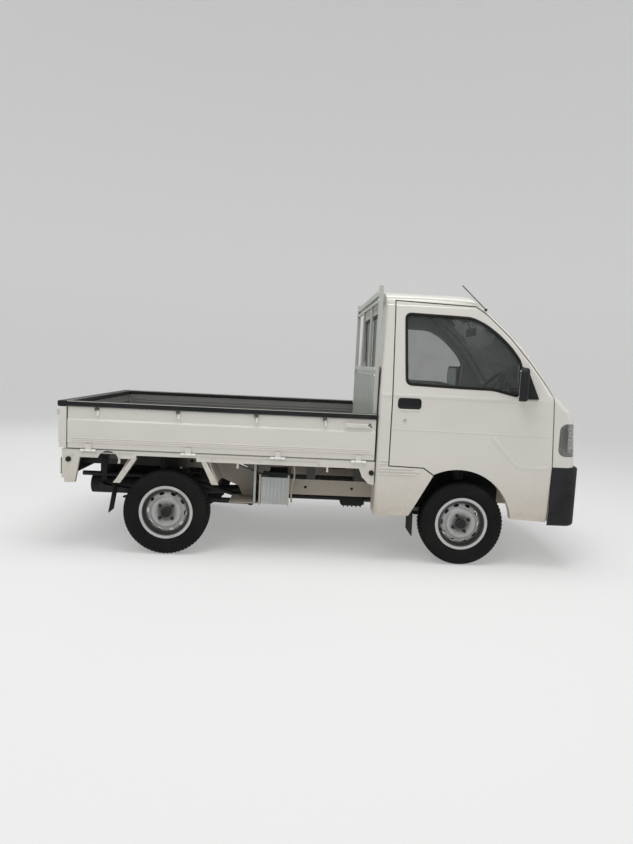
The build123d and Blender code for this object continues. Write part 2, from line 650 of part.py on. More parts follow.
# Cross members between the rails. Columns: place along the truck, top height.
CROSS_MEMBERS = (
    (NOSE_X - 240, RAIL_TOP_Z),
    (FRONT_AXLE_X + 200, RAIL_TOP_Z),
    (CAB_REAR_X + 15, RAIL_TOP_Z),
    (REAR_AXLE_X + 758, RAIL_TOP_Z),
    (REAR_AXLE_X + 190, REAR_RAIL_TOP_Z),
    (REAR_AXLE_X - 250, REAR_RAIL_TOP_Z),
    (REAR_AXLE_X - 590, REAR_RAIL_TOP_Z),
)
MEMBER_WIDTH = 52
MEMBER_HEIGHT = 54
with BuildPart() as frame_members:
    for member_x, top_z in CROSS_MEMBERS:
        block((member_x - MEMBER_WIDTH / 2, member_x + MEMBER_WIDTH / 2), (-RAIL_INNER_Y, RAIL_INNER_Y),
              (top_z - MEMBER_HEIGHT, top_z))
save(frame_members, "frame_cross_members")

# Engine, one plain block on two arms, and the gearbox behind it
ENGINE_REAR_X = CAB_REAR_X + 106
ENGINE_FRONT_X = FRONT_AXLE_X - 10
ENGINE_Y = 225
ENGINE_BOTTOM_Z = 232
ENGINE_TOP_Z = 615
SHAFT_Z = 318
with BuildPart() as engine:
    block((ENGINE_REAR_X, ENGINE_FRONT_X), (-ENGINE_Y, ENGINE_Y), (ENGINE_BOTTOM_Z, ENGINE_TOP_Z))
    engine_x = (ENGINE_REAR_X + ENGINE_FRONT_X) / 2
    block((engine_x - 35, engine_x + 35), (-RAIL_INNER_Y, RAIL_INNER_Y),
          (RAIL_BOTTOM_Z + 20, RAIL_TOP_Z - 20))
save(engine, "engine")

GEARBOX_REAR_X = CAB_REAR_X - 190
with BuildPart() as gearbox:
    rod((ENGINE_REAR_X, 0, SHAFT_Z), (ENGINE_REAR_X - 110, 0, SHAFT_Z), 86)
    rod((ENGINE_REAR_X - 110, 0, SHAFT_Z), (GEARBOX_REAR_X, 0, SHAFT_Z), 74)
    block((GEARBOX_REAR_X + 60, GEARBOX_REAR_X + 210), (-60, 130), (SHAFT_Z - 96, SHAFT_Z + 20))
save(gearbox, "gearbox")

# Rear axle with its drum backing plates and spindles, and the propeller shaft
BACKING_Y = WHEEL_Y - RIM_WIDTH / 2 - 8
BACKING_WALL = 12
DRUM_INNER_Y = WHEEL_Y - DRUM_DEPTH / 2 + 4
SPINDLE_END_Y = WHEEL_Y + 26
DIFFERENTIAL_RADIUS = 108
PINION_X = REAR_AXLE_X + 160
with BuildPart() as rear_axle:
    rod((REAR_AXLE_X, -BACKING_Y, AXLE_Z), (REAR_AXLE_X, BACKING_Y, AXLE_Z), 36)
    with Locations((REAR_AXLE_X, 0, AXLE_Z)):
        Sphere(DIFFERENTIAL_RADIUS)
    rod((REAR_AXLE_X, 0, AXLE_Z), (PINION_X, 0, AXLE_Z + 12), 46)
    for side, sign in SIDES:
        rod((REAR_AXLE_X, sign * (BACKING_Y - BACKING_WALL), AXLE_Z), (REAR_AXLE_X, sign * BACKING_Y, AXLE_Z),
            DRUM_RADIUS + 4)
        rod((REAR_AXLE_X, sign * BACKING_Y, AXLE_Z), (REAR_AXLE_X, sign * SPINDLE_END_Y, AXLE_Z),
            SPINDLE_RADIUS)
save(rear_axle, "rear_axle")

with BuildPart() as propeller_shaft:
    rod((PINION_X, 0, AXLE_Z + 12), (GEARBOX_REAR_X, 0, SHAFT_Z), 32)
    add(rear_axle.part, mode=Mode.SUBTRACT)
    add(gearbox.part, mode=Mode.SUBTRACT)
save(propeller_shaft, "propeller_shaft")

# Rear leaf springs with shackles, and the dampers
SPRING_INNER_Y = RAIL_OUTER_Y + 7
SPRING_WIDTH = 50
SPRING_HEIGHT = 26
SPRING_REAR = (REAR_AXLE_X - 480, 372)
SPRING_SEAT_Z = AXLE_Z + 36
SHACKLE_WIDTH = 34
DAMPER_Y = 515
DAMPER_RADIUS = 21
with BuildPart() as rear_suspension:
    for side, sign in SIDES:
        with BuildSketch(Plane.XZ.offset(-sign * SPRING_INNER_Y)):
            with BuildLine():
                low_eye = (SPRING_EYE[0], SPRING_EYE[1] - SPRING_HEIGHT / 2)
                high_eye = (SPRING_EYE[0], SPRING_EYE[1] + SPRING_HEIGHT / 2)
                low_rear = (SPRING_REAR[0], SPRING_REAR[1] - SPRING_HEIGHT / 2)
                high_rear = (SPRING_REAR[0], SPRING_REAR[1] + SPRING_HEIGHT / 2)
                ThreePointArc(low_eye, (REAR_AXLE_X, SPRING_SEAT_Z), low_rear)
                Line(low_rear, high_rear)
                ThreePointArc(high_rear, (REAR_AXLE_X, SPRING_SEAT_Z + SPRING_HEIGHT), high_eye)
                Line(high_eye, low_eye)
            make_face()
        extrude(amount=-sign * SPRING_WIDTH)
        for eye_x, eye_z in (SPRING_EYE, SPRING_REAR):
            rod((eye_x, sign * RAIL_OUTER_Y, eye_z),
                (eye_x, sign * (SPRING_INNER_Y + SPRING_WIDTH), eye_z), 22)
        block((SPRING_REAR[0] - SHACKLE_WIDTH / 2, SPRING_REAR[0] + SHACKLE_WIDTH / 2),
              (sign * RAIL_OUTER_Y, sign * SPRING_INNER_Y), (SPRING_REAR[1], REAR_RAIL_TOP_Z - 40))
        damper_foot = (REAR_AXLE_X - 60, sign * DAMPER_Y, AXLE_Z + 60)
        rod(damper_foot, (REAR_AXLE_X - 60, sign * DAMPER_Y, SILL_BOTTOM_Z - 7), DAMPER_RADIUS)
        rod(damper_foot, (REAR_AXLE_X - 25, sign * DAMPER_Y, AXLE_Z + 20), 14)
    add(rear_axle.part, mode=Mode.SUBTRACT)
save(rear_suspension, "rear_suspension")

# Front suspension: a cross beam with the lower arms, and two struts that lean in.
# Each strut is a steering axis.
BALL = (588, 160)
STRUT_TOP = (500, SEAT_BASE_Z - FLOOR_WALL)
STRUT_RADIUS = 20
CLAMP_LOW_Z = 345
CLAMP_HIGH_Z = 398
BALL_PIN_RADIUS = 10
ARM_Z = 145


def on_steering_axis(height, sign):
    """The point of a steering axis at a height."""
    share = (height - BALL[1]) / (STRUT_TOP[1] - BALL[1])
    return (FRONT_AXLE_X, sign * (BALL[0] + share * (STRUT_TOP[0] - BALL[0])), height)


with BuildPart() as front_suspension:
    block((FRONT_AXLE_X - 30, FRONT_AXLE_X + 30), (-RAIL_OUTER_Y + 15, RAIL_OUTER_Y - 15),
          (ARM_Z - 12, ARM_Z + 55))
    for side, sign in SIDES:
        block((FRONT_AXLE_X - 28, FRONT_AXLE_X + 28),
              (sign * (RAIL_OUTER_Y - 40), sign * (RAIL_OUTER_Y - 15)), (ARM_Z, RAIL_BOTTOM_Z))
        block((FRONT_AXLE_X - 28, FRONT_AXLE_X + 28), (sign * 300, sign * (BALL[0] + 10)),
              (ARM_Z - 9, ARM_Z + 9))
        rod(on_steering_axis(ARM_Z, sign), on_steering_axis(ARM_Z + 42, sign), BALL_PIN_RADIUS)
        rod(on_steering_axis(CLAMP_LOW_Z + 3, sign), on_steering_axis(STRUT_TOP[1] - 14, sign), STRUT_RADIUS)
        rod(on_steering_axis(530, sign), on_steering_axis(STRUT_TOP[1] - 14, sign), 40)
        block((FRONT_AXLE_X - 55, FRONT_AXLE_X + 55),
              (sign * (STRUT_TOP[0] - 55), sign * (STRUT_TOP[0] + 55)), (STRUT_TOP[1] - 20, STRUT_TOP[1]))
save(front_suspension, "front_suspension")

# Steering rack between the rails, with tie rods that stop short of the knuckles' arms
RACK_X = FRONT_AXLE_X + 135
RACK_Z = 305
TIE_ROD_END_Y = 462
with BuildPart() as steering_rack:
    rod((RACK_X, -RAIL_INNER_Y + 20, RACK_Z), (RACK_X, RAIL_INNER_Y - 20, RACK_Z), 24)
    rod((RACK_X, -TIE_ROD_END_Y, RACK_Z), (RACK_X, TIE_ROD_END_Y, RACK_Z), 9)
    for side, sign in SIDES:
        block((RACK_X - 22, RACK_X + 22), (sign * (RAIL_OUTER_Y - 22), sign * (RAIL_OUTER_Y - 2)),
              (RACK_Z - 15, RAIL_BOTTOM_Z))
save(steering_rack, "steering_rack")

# Steering knuckles
KNUCKLE_OUTER_Y = WHEEL_Y - RIM_WIDTH / 2 + 4
KNUCKLE_INNER_Y = 545
for side, sign in SIDES:
    with BuildPart() as knuckle:
        block((FRONT_AXLE_X - 32, FRONT_AXLE_X + 32), (sign * KNUCKLE_INNER_Y, sign * KNUCKLE_OUTER_Y),
              (ARM_Z + 20, CLAMP_LOW_Z + 8))
        rod(on_steering_axis(CLAMP_LOW_Z - 25, sign), on_steering_axis(CLAMP_HIGH_Z, sign), 31)
        block((FRONT_AXLE_X + 20, RACK_X), (sign * (KNUCKLE_INNER_Y + 2), sign * (KNUCKLE_INNER_Y + 24)),
              (RACK_Z - 10, RACK_Z + 10))
        rod((FRONT_AXLE_X, sign * (KNUCKLE_OUTER_Y - 5), AXLE_Z),
            (FRONT_AXLE_X, sign * SPINDLE_END_Y, AXLE_Z), SPINDLE_RADIUS)
        rod(on_steering_axis(CLAMP_LOW_Z, sign), on_steering_axis(CLAMP_HIGH_Z + 30, sign),
            STRUT_RADIUS + PIN_PLAY, mode=Mode.SUBTRACT)
        rod(on_steering_axis(ARM_Z, sign), on_steering_axis(ARM_Z + 45, sign), BALL_PIN_RADIUS + PIN_PLAY,
            mode=Mode.SUBTRACT)
    save(knuckle, f"knuckle_{side}")

# Wheels. Columns: name, place along the truck, side. The outer face of each is turned away from the truck.
WHEELS = (
    ("front_right", FRONT_AXLE_X, -1),
    ("front_left", FRONT_AXLE_X, 1),
    ("rear_right", REAR_AXLE_X, -1),
    ("rear_left", REAR_AXLE_X, 1),
)


def ring_profile(points):
    """A closed outline of straight lines for a wheel. Columns: distance out from the centre, radius."""
    with BuildLine() as outline:
        Polyline(*points, close=True)
    make_face(outline.edges())


def make_tyre():
    """A tyre round the Y axis, its outer face toward +Y, with a bulge and a shoulder on each side."""
    bead_y = RIM_WIDTH / 2 - RIM_WALL - 1
    bulge = (TYRE_WIDTH / 2, RIM_SEAT_RADIUS + 0.55 * (TYRE_RADIUS - RIM_SEAT_RADIUS))
    shoulder = (TREAD_WIDTH / 2 + 8, TYRE_RADIUS - 9)
    with BuildPart() as tyre:
        with BuildSketch(Plane.YZ):
            with BuildLine():
                Line((-bead_y, RIM_SEAT_RADIUS), (bead_y, RIM_SEAT_RADIUS))
                for edge in (-1, 1):
                    Line((edge * bead_y, RIM_SEAT_RADIUS), (edge * bead_y, RIM_LIP_RADIUS + 2))
                    ThreePointArc((edge * bead_y, RIM_LIP_RADIUS + 2), (edge * bulge[0], bulge[1]),
                                  (edge * shoulder[0], shoulder[1]))
                    ThreePointArc((edge * shoulder[0], shoulder[1]),
                                  (edge * (TREAD_WIDTH / 2 + 4), TYRE_RADIUS - 3.5),
                                  (edge * (TREAD_WIDTH / 2 - 6), TYRE_RADIUS))
                Line((TREAD_WIDTH / 2 - 6, TYRE_RADIUS), (6 - TREAD_WIDTH / 2, TYRE_RADIUS))
            make_face()
        revolve(axis=Axis.Y)
    return tyre.part


def make_rim():
    """A pressed steel wheel round the Y axis, its outer face toward +Y, with its brake drum and hub bore."""
    lip_y = RIM_WIDTH / 2
    with BuildPart() as rim:
        with BuildSketch(Plane.YZ):
            ring_profile([
                (-lip_y, RIM_LIP_RADIUS), (-lip_y, RIM_SEAT_RADIUS - RIM_WALL),
                (lip_y, RIM_SEAT_RADIUS - RIM_WALL), (lip_y, RIM_LIP_RADIUS),
                (lip_y - RIM_WALL, RIM_LIP_RADIUS), (lip_y - RIM_WALL, RIM_SEAT_RADIUS),
                (RIM_WALL - lip_y, RIM_SEAT_RADIUS), (RIM_WALL - lip_y, RIM_LIP_RADIUS),
            ])
        revolve(axis=Axis.Y)
        with BuildSketch(Plane.YZ):
            ring_profile([
                (HUB_INSET + 26, 0), (HUB_INSET + 32, 0), (HUB_INSET + 32, 62), (HUB_INSET + 38, 76),
                (HUB_INSET + 38, 92), (HUB_INSET + 27, 103), (HUB_INSET + 14, 134), (HUB_INSET + 10, 150),
                (HUB_INSET + 2, 150), (HUB_INSET + 6, 130), (HUB_INSET + 20, 100), (HUB_INSET + 30, 88),
                (HUB_INSET + 30, 80), (HUB_INSET + 26, 66),
            ])
        revolve(axis=Axis.Y)
        with BuildSketch(Plane.XZ.offset(-lip_y - 5)):
            with PolarLocations(SLOT_RADIUS, WHEEL_SLOTS, start_angle=2):
                SlotOverall(SLOT_LENGTH, SLOT_DEPTH, rotation=90)
        extrude(amount=lip_y, mode=Mode.SUBTRACT)
        rod((0, 4 - DRUM_DEPTH / 2, 0), (0, 0, 0), DRUM_RADIUS)
        rod((0, 0, 0), (0, HUB_INSET + 28, 0), 58)
        rod((0, -DRUM_DEPTH, 0), (0, SPINDLE_END_Y - WHEEL_Y + 3, 0), SPINDLE_RADIUS + PIN_PLAY,
            mode=Mode.SUBTRACT)
        rod((0, HUB_INSET + 25, 0), (0, HUB_INSET + 52, 0), 32)
    return rim.part


tyre_form = make_tyre()
rim_form = make_rim()
for name, axle_x, sign in WHEELS:
    spot = Location((axle_x, sign * WHEEL_Y, AXLE_Z), (0, 0, 0 if sign > 0 else 180))
    for kind, form in (("tyre", tyre_form), ("rim", rim_form)):
        with BuildPart() as piece:
            with Locations(spot):
                add(form)
        save(piece, f"{kind}_{name}")

# Spare wheel, flat under the back of the bed
SPARE_X = REAR_AXLE_X - 347
SPARE_TOP_Z = REAR_RAIL_TOP_Z - MEMBER_HEIGHT
with BuildPart() as spare_wheel:
    with Locations(Location((SPARE_X, 0, SPARE_TOP_Z - TYRE_WIDTH / 2 - 1), (-90, 0, 0))):
        add(tyre_form)
        add(rim_form)
save(spare_wheel, "spare_wheel")

# Fuel tank on the left, battery box on the right, both on the outer face of a rail
with BuildPart() as fuel_tank:
    block((REAR_AXLE_X + 575, CAB_REAR_X - 330), (RAIL_OUTER_Y, HALF_WIDTH - 62), (292, 476))
    fillet(fuel_tank.edges().filter_by(Axis.X), 32)
save(fuel_tank, "fuel_tank")

BATTERY_FRONT_X = CAB_REAR_X - 552
BATTERY_LENGTH = 174
with BuildPart() as battery_box:
    block((BATTERY_FRONT_X - BATTERY_LENGTH, BATTERY_FRONT_X), (-HALF_WIDTH + 97, -RAIL_OUTER_Y), (336, 512))
    block((BATTERY_FRONT_X - 122, BATTERY_FRONT_X - 8), (-HALF_WIDTH + 110, -RAIL_OUTER_Y - 20), (512, 543))
    block((BATTERY_FRONT_X - BATTERY_LENGTH - 50, BATTERY_FRONT_X - BATTERY_LENGTH - 36),
          (-HALF_WIDTH + 112, -RAIL_OUTER_Y), (334, 600))
    block((BATTERY_FRONT_X - BATTERY_LENGTH - 50, BATTERY_FRONT_X - BATTERY_LENGTH),
          (-RAIL_OUTER_Y - 40, -RAIL_OUTER_Y), (420, 450))
save(battery_box, "battery_box")

# Exhaust: front pipe, silencer and tail pipe over the axle
SILENCER_Y = -208
SILENCER_RADIUS = 62
TAIL_PIPE_Y = -313
PIPE_RADIUS = 16
with BuildPart() as exhaust:
    pipe_points = [
        (ENGINE_REAR_X, SILENCER_Y, 300), (CAB_REAR_X - 560, SILENCER_Y, 300),
        (CAB_REAR_X - 940, SILENCER_Y, 300), (REAR_AXLE_X + 190, TAIL_PIPE_Y, 380),
        (REAR_AXLE_X - 60, TAIL_PIPE_Y, 430), (REAR_PANEL_X - 5, TAIL_PIPE_Y, 430),
    ]
    for start, end in zip(pipe_points, pipe_points[1:]):
        rod(start, end, PIPE_RADIUS)
    for bend in pipe_points[2:-1]:
        with Locations(bend):
            Sphere(PIPE_RADIUS)
    rod(pipe_points[1], (CAB_REAR_X - 900, SILENCER_Y, 300), SILENCER_RADIUS)
save(exhaust, "exhaust")

# Load bed: the deck with shallow grooves along it
DECK_FRONT_X = HEADBOARD_X + HEADBOARD_DEPTH
DECK_REAR_X = TAILGATE_INNER_X + RUNNING_GAP
DECK_Y = GATE_INNER_Y - RUNNING_GAP
GROOVE_COUNT = 13
GROOVE_WIDTH = 34
GROOVE_DEPTH = 6
with BuildPart() as bed_deck:
    block((DECK_REAR_X, HEADBOARD_X), (-DECK_Y, DECK_Y), (DECK_Z - DECK_WALL, DECK_Z))
    with BuildSketch(Plane.XY.offset(DECK_Z)):
        with Locations(((DECK_REAR_X + HEADBOARD_X) / 2, 0)):
            with GridLocations(1, 2 * DECK_Y / (GROOVE_COUNT + 1), 1, GROOVE_COUNT):
                SlotOverall(HEADBOARD_X - DECK_REAR_X - 120, GROOVE_WIDTH)
    extrude(amount=-GROOVE_DEPTH, mode=Mode.SUBTRACT)
save(bed_deck, "bed_deck")

# Bed frame: sills, rear panel, cross beams, posts on the rails, corner brackets and the fixed hinge parts
SIDE_HINGES = [REAR_AXLE_X - 484, REAR_AXLE_X + 136, REAR_AXLE_X + 697, CAB_REAR_X - 114]
TAIL_HINGES = (-540, 0, 540)
ROPE_HOOKS = (REAR_AXLE_X - 296, REAR_AXLE_X + 446, CAB_REAR_X - 308)
BED_BEAMS = (CAB_REAR_X - 74, CAB_REAR_X - 400, REAR_AXLE_X + 400, REAR_AXLE_X - 330)
POST_BEAMS = BED_BEAMS[:2]
TAIL_HINGE_X = TAILGATE_OUTER_X - HINGE_OFFSET
SIDE_HINGE_Y = GATE_OUTER_Y + HINGE_OFFSET
HINGE_LUG = 28
LAMP_HOLE_Y = HALF_WIDTH - 108
with BuildPart() as bed_frame:
    for side, sign in SIDES:
        block((REAR_PANEL_X, DECK_FRONT_X), (sign * DECK_Y, sign * SILL_OUTER_Y), (SILL_BOTTOM_Z, DECK_Z))
        block((REAR_AXLE_X - 191, REAR_AXLE_X + 186), (sign * (DECK_Y - 1), sign * HALF_WIDTH),
              (SILL_BOTTOM_Z - 1, 630), mode=Mode.SUBTRACT)
        with Locations((REAR_AXLE_X - 365, sign * SILL_OUTER_Y, SILL_BOTTOM_Z - 22)):
            Cylinder(68, 3 * SILL_WALL, rotation=(90, 0, 0), mode=Mode.SUBTRACT)
    block((REAR_PANEL_X, REAR_PANEL_X + REAR_PANEL_WALL), (-SILL_OUTER_Y, SILL_OUTER_Y),
          (REAR_PANEL_BOTTOM_Z, DECK_Z))
    block((REAR_PANEL_X, DECK_REAR_X), (-DECK_Y, DECK_Y), (DECK_Z - 40, DECK_Z))
    block((HEADBOARD_X, DECK_FRONT_X), (-DECK_Y, DECK_Y), (SILL_BOTTOM_Z, DECK_Z))
    for beam_x in BED_BEAMS:
        block((beam_x - BEAM_WIDTH / 2, beam_x + BEAM_WIDTH / 2), (-DECK_Y, DECK_Y),
              (REAR_RAIL_TOP_Z, DECK_Z - DECK_WALL))
    for post_x in POST_BEAMS:
        for side, sign in SIDES:
            block((post_x - BEAM_WIDTH / 2, post_x + BEAM_WIDTH / 2),
                  (sign * RAIL_INNER_Y, sign * RAIL_OUTER_Y), (RAIL_TOP_Z, REAR_RAIL_TOP_Z))
    for side, sign in SIDES:
        side_prism(
            [(REAR_PANEL_X, SILL_BOTTOM_Z), (REAR_PANEL_X + 110, SILL_BOTTOM_Z), (REAR_PANEL_X + 80, 445),
             (REAR_PANEL_X + 18, 445)],
            (sign * (SILL_OUTER_Y - SILL_WALL), sign * SILL_OUTER_Y),
        )
        side_prism(
            [(CAB_REAR_X - 106, SILL_BOTTOM_Z), (CAB_REAR_X - HEADBOARD_GAP, SILL_BOTTOM_Z),
             (CAB_REAR_X - HEADBOARD_GAP, 503), (CAB_REAR_X - 42, 512), (CAB_REAR_X - 84, 552)],
            (sign * (SILL_OUTER_Y - SILL_WALL), sign * SILL_OUTER_Y),
        )
        for stop_x, stop_z in ((REAR_PANEL_X + 42, 592), (CAB_REAR_X - 27, 583)):
            rod((stop_x, sign * (SILL_OUTER_Y - 2), stop_z), (stop_x, sign * (SILL_OUTER_Y + 8), stop_z), 14)
        for hook_x in ROPE_HOOKS:
            block((hook_x - 6, hook_x + 6), (sign * (SILL_OUTER_Y - 12), sign * (SILL_OUTER_Y - 4)),
                  (SILL_BOTTOM_Z - 24, SILL_BOTTOM_Z))
            block((hook_x - 6, hook_x + 6), (sign * (SILL_OUTER_Y - 12), sign * (SILL_OUTER_Y + 6)),
                  (SILL_BOTTOM_Z - 30, SILL_BOTTOM_Z - 22))
        for hinge_x in SIDE_HINGES:
            rod((hinge_x - HINGE_LENGTH / 2, sign * SIDE_HINGE_Y, HINGE_Z),
                (hinge_x + HINGE_LENGTH / 2, sign * SIDE_HINGE_Y, HINGE_Z), HINGE_PIN_RADIUS)
            for end in (-1, 1):
                lug_x = hinge_x + end * (HINGE_LENGTH - HINGE_LUG) / 2
                rod((lug_x - HINGE_LUG / 2, sign * SIDE_HINGE_Y, HINGE_Z),
                    (lug_x + HINGE_LUG / 2, sign * SIDE_HINGE_Y, HINGE_Z), HINGE_RADIUS)
                block((lug_x - HINGE_LUG / 2, lug_x + HINGE_LUG / 2),
                      (sign * SILL_OUTER_Y, sign * SIDE_HINGE_Y), (HINGE_Z - HINGE_RADIUS, HINGE_Z - 1))
    for hinge_y in TAIL_HINGES:
        rod((TAIL_HINGE_X, hinge_y - HINGE_LENGTH / 2, HINGE_Z),
            (TAIL_HINGE_X, hinge_y + HINGE_LENGTH / 2, HINGE_Z), HINGE_PIN_RADIUS)
        for end in (-1, 1):
            lug_y = hinge_y + end * (HINGE_LENGTH - HINGE_LUG) / 2
            rod((TAIL_HINGE_X, lug_y - HINGE_LUG / 2, HINGE_Z),
                (TAIL_HINGE_X, lug_y + HINGE_LUG / 2, HINGE_Z), HINGE_RADIUS)
            block((TAIL_HINGE_X, REAR_PANEL_X), (lug_y - HINGE_LUG / 2, lug_y + HINGE_LUG / 2),
                  (HINGE_Z - HINGE_RADIUS, HINGE_Z - 1))
    plate_plane = Plane(origin=(REAR_PANEL_X, 0, REAR_PANEL_BOTTOM_Z + 90), x_dir=(0, 1, 0), z_dir=(-1, 0, 0))
    with Locations(plate_plane):
        with GridLocations(PLATE_HOLE_SPACING, 1, 2, 1):
            Hole(PLATE_HOLE_RADIUS, REAR_PANEL_WALL)
save(bed_frame, "bed_frame")

with BuildPart() as tail_lamps:
    for side, sign in SIDES:
        block((REAR_PANEL_X - 14, REAR_PANEL_X), (sign * (LAMP_HOLE_Y - 82), sign * (LAMP_HOLE_Y + 66)),
              (REAR_PANEL_BOTTOM_Z + 28, REAR_PANEL_BOTTOM_Z + 118))
    fillet(tail_lamps.edges().filter_by(Axis.X), 14)
save(tail_lamps, "tail_lamps")

# Headboard: a standing frame at the front of the bed with a ribbed lower panel
FRAME_TUBE = 30
MID_RAIL_Z = 1243
UPPER_RAIL_Z = HEADBOARD_TOP_Z - 43
LOWER_RAIL_Z = HEADBOARD_TOP_Z - 88
BAR_Y = 235
PANEL_TOP_Z = MID_RAIL_Z - 14
POST_WIDTH = 37
POST_INNER_Y = POST_OUTER_Y - POST_WIDTH
with BuildPart() as headboard_frame:
    for side, sign in SIDES:
        block((HEADBOARD_X, DECK_FRONT_X), (sign * POST_INNER_Y, sign * POST_OUTER_Y),
              (DECK_Z, HEADBOARD_TOP_Z))
        block((HEADBOARD_X + 3, DECK_FRONT_X - 3), (sign * BAR_Y - 13, sign * BAR_Y + 13),
              (MID_RAIL_Z, LOWER_RAIL_Z))
    fillet(headboard_frame.edges().filter_by(Axis.Z), 6)
    for rail_z, half, back in ((UPPER_RAIL_Z, 17, 0), (LOWER_RAIL_Z, 9, 3), (MID_RAIL_Z, 14, 0)):
        block((HEADBOARD_X + back, DECK_FRONT_X - back), (-POST_INNER_Y - 2, POST_INNER_Y + 2),
              (rail_z - half, rail_z + half))
save(headboard_frame, "headboard_frame")

RIB_COUNT = 15
with BuildPart() as headboard_panel:
    block((HEADBOARD_X + 10, HEADBOARD_X + 16), (-POST_INNER_Y, POST_INNER_Y), (DECK_Z, PANEL_TOP_Z))
    with Locations((HEADBOARD_X + 10, 0, (DECK_Z + PANEL_TOP_Z) / 2)):
        with GridLocations(1, 2 * POST_INNER_Y / (RIB_COUNT + 1), 1, RIB_COUNT):
            Box(12, 34, PANEL_TOP_Z - DECK_Z - 60)
save(headboard_panel, "headboard_panel")

# Gates. The top of each is the broad form of its edge cover.
COVER_HEIGHT = 32
COVER_SPREAD = 4
BAND_Z = GATE_BOTTOM_Z + 173
LIP_Z = GATE_BOTTOM_Z + 30
GATE_REAR_X = TAILGATE_INNER_X + RUNNING_GAP
GATE_FRONT_X = CAB_REAR_X - 14
GATE_PINS = (REAR_AXLE_X - 430, REAR_AXLE_X + 69, REAR_AXLE_X + 555, CAB_REAR_X - 336)
HINGE_TAB = HINGE_LENGTH - 2 * HINGE_LUG - 2


def gate_section(outer, thickness):
    """A gate's section. Columns: distance out, height: plain inside, stepped outside, with a broad top."""
    inner = outer - thickness
    with BuildLine() as outline:
        Polyline(
            (inner, GATE_BOTTOM_Z), (outer - 4, GATE_BOTTOM_Z), (outer - 4, LIP_Z), (outer, LIP_Z + 5),
            (outer, BAND_Z), (outer - 8, BAND_Z + 12), (outer - 8, GATE_TOP_Z - COVER_HEIGHT),
            (outer + COVER_SPREAD, GATE_TOP_Z - COVER_HEIGHT), (outer + COVER_SPREAD, GATE_TOP_Z),
            (inner - COVER_SPREAD, GATE_TOP_Z), (inner - COVER_SPREAD, GATE_TOP_Z - COVER_HEIGHT),
            (inner, GATE_TOP_Z - COVER_HEIGHT), close=True,
        )
    make_face(outline.edges())


for side, sign in SIDES:
    with BuildPart() as side_gate:
        with BuildSketch(Plane(origin=(GATE_REAR_X, 0, 0), x_dir=(0, sign, 0), z_dir=(sign, 0, 0))):
            gate_section(GATE_OUTER_Y, GATE_THICKNESS)
        extrude(amount=sign * (GATE_FRONT_X - GATE_REAR_X))
        for hinge_x in SIDE_HINGES:
            block((hinge_x - HINGE_TAB / 2, hinge_x + HINGE_TAB / 2),
                  (sign * (GATE_OUTER_Y - 6), sign * (SIDE_HINGE_Y + 5)), (HINGE_Z, LIP_Z))
            rod((hinge_x - HINGE_TAB / 2, sign * SIDE_HINGE_Y, HINGE_Z),
                (hinge_x + HINGE_TAB / 2, sign * SIDE_HINGE_Y, HINGE_Z), HINGE_RADIUS)
            rod((hinge_x - HINGE_TAB, sign * SIDE_HINGE_Y, HINGE_Z),
                (hinge_x + HINGE_TAB, sign * SIDE_HINGE_Y, HINGE_Z), HINGE_PIN_RADIUS + PIN_PLAY,
                mode=Mode.SUBTRACT)
        for pin_x in GATE_PINS:
            rod((pin_x, sign * (GATE_OUTER_Y - 10), 905), (pin_x, sign * (GATE_OUTER_Y + 6), 905), 7)
            block((pin_x - 4, pin_x + 4), (sign * (GATE_OUTER_Y - 8), sign * (GATE_OUTER_Y + 4)), (884, 905))
        block((CAB_REAR_X - 206, CAB_REAR_X - 46), (sign * (GATE_OUTER_Y - 10), sign * (GATE_OUTER_Y + 5)),
              (868, 896))
    save(side_gate, f"side_gate_{side}")

TAILGATE_HALF_WIDTH = GATE_OUTER_Y
LATCH_REACH = 22
with BuildPart() as tailgate:
    with BuildSketch(Plane(origin=(0, -TAILGATE_HALF_WIDTH, 0), x_dir=(-1, 0, 0), z_dir=(0, 1, 0))):
        gate_section(-TAILGATE_OUTER_X, TAILGATE_THICKNESS)
    extrude(amount=2 * TAILGATE_HALF_WIDTH)
    for hinge_y in TAIL_HINGES:
        block((TAILGATE_OUTER_X + 6, TAIL_HINGE_X - 5), (hinge_y - HINGE_TAB / 2, hinge_y + HINGE_TAB / 2),
              (HINGE_Z, LIP_Z))
        rod((TAIL_HINGE_X, hinge_y - HINGE_TAB / 2, HINGE_Z),
            (TAIL_HINGE_X, hinge_y + HINGE_TAB / 2, HINGE_Z), HINGE_RADIUS)
        rod((TAIL_HINGE_X, hinge_y - HINGE_TAB, HINGE_Z), (TAIL_HINGE_X, hinge_y + HINGE_TAB, HINGE_Z),
            HINGE_PIN_RADIUS + PIN_PLAY, mode=Mode.SUBTRACT)
    for side, sign in SIDES:
        block((TAILGATE_OUTER_X + 9, TAILGATE_OUTER_X - LATCH_REACH),
              (sign * (TAILGATE_HALF_WIDTH - 75), sign * (TAILGATE_HALF_WIDTH - 25)), (866, 900))
save(tailgate, "tailgate")

# Rear mudguards: a slanting sheet before and behind each rear wheel, with an outer flange
GUARD_SHEET = 6
GUARD_FLANGE = 52
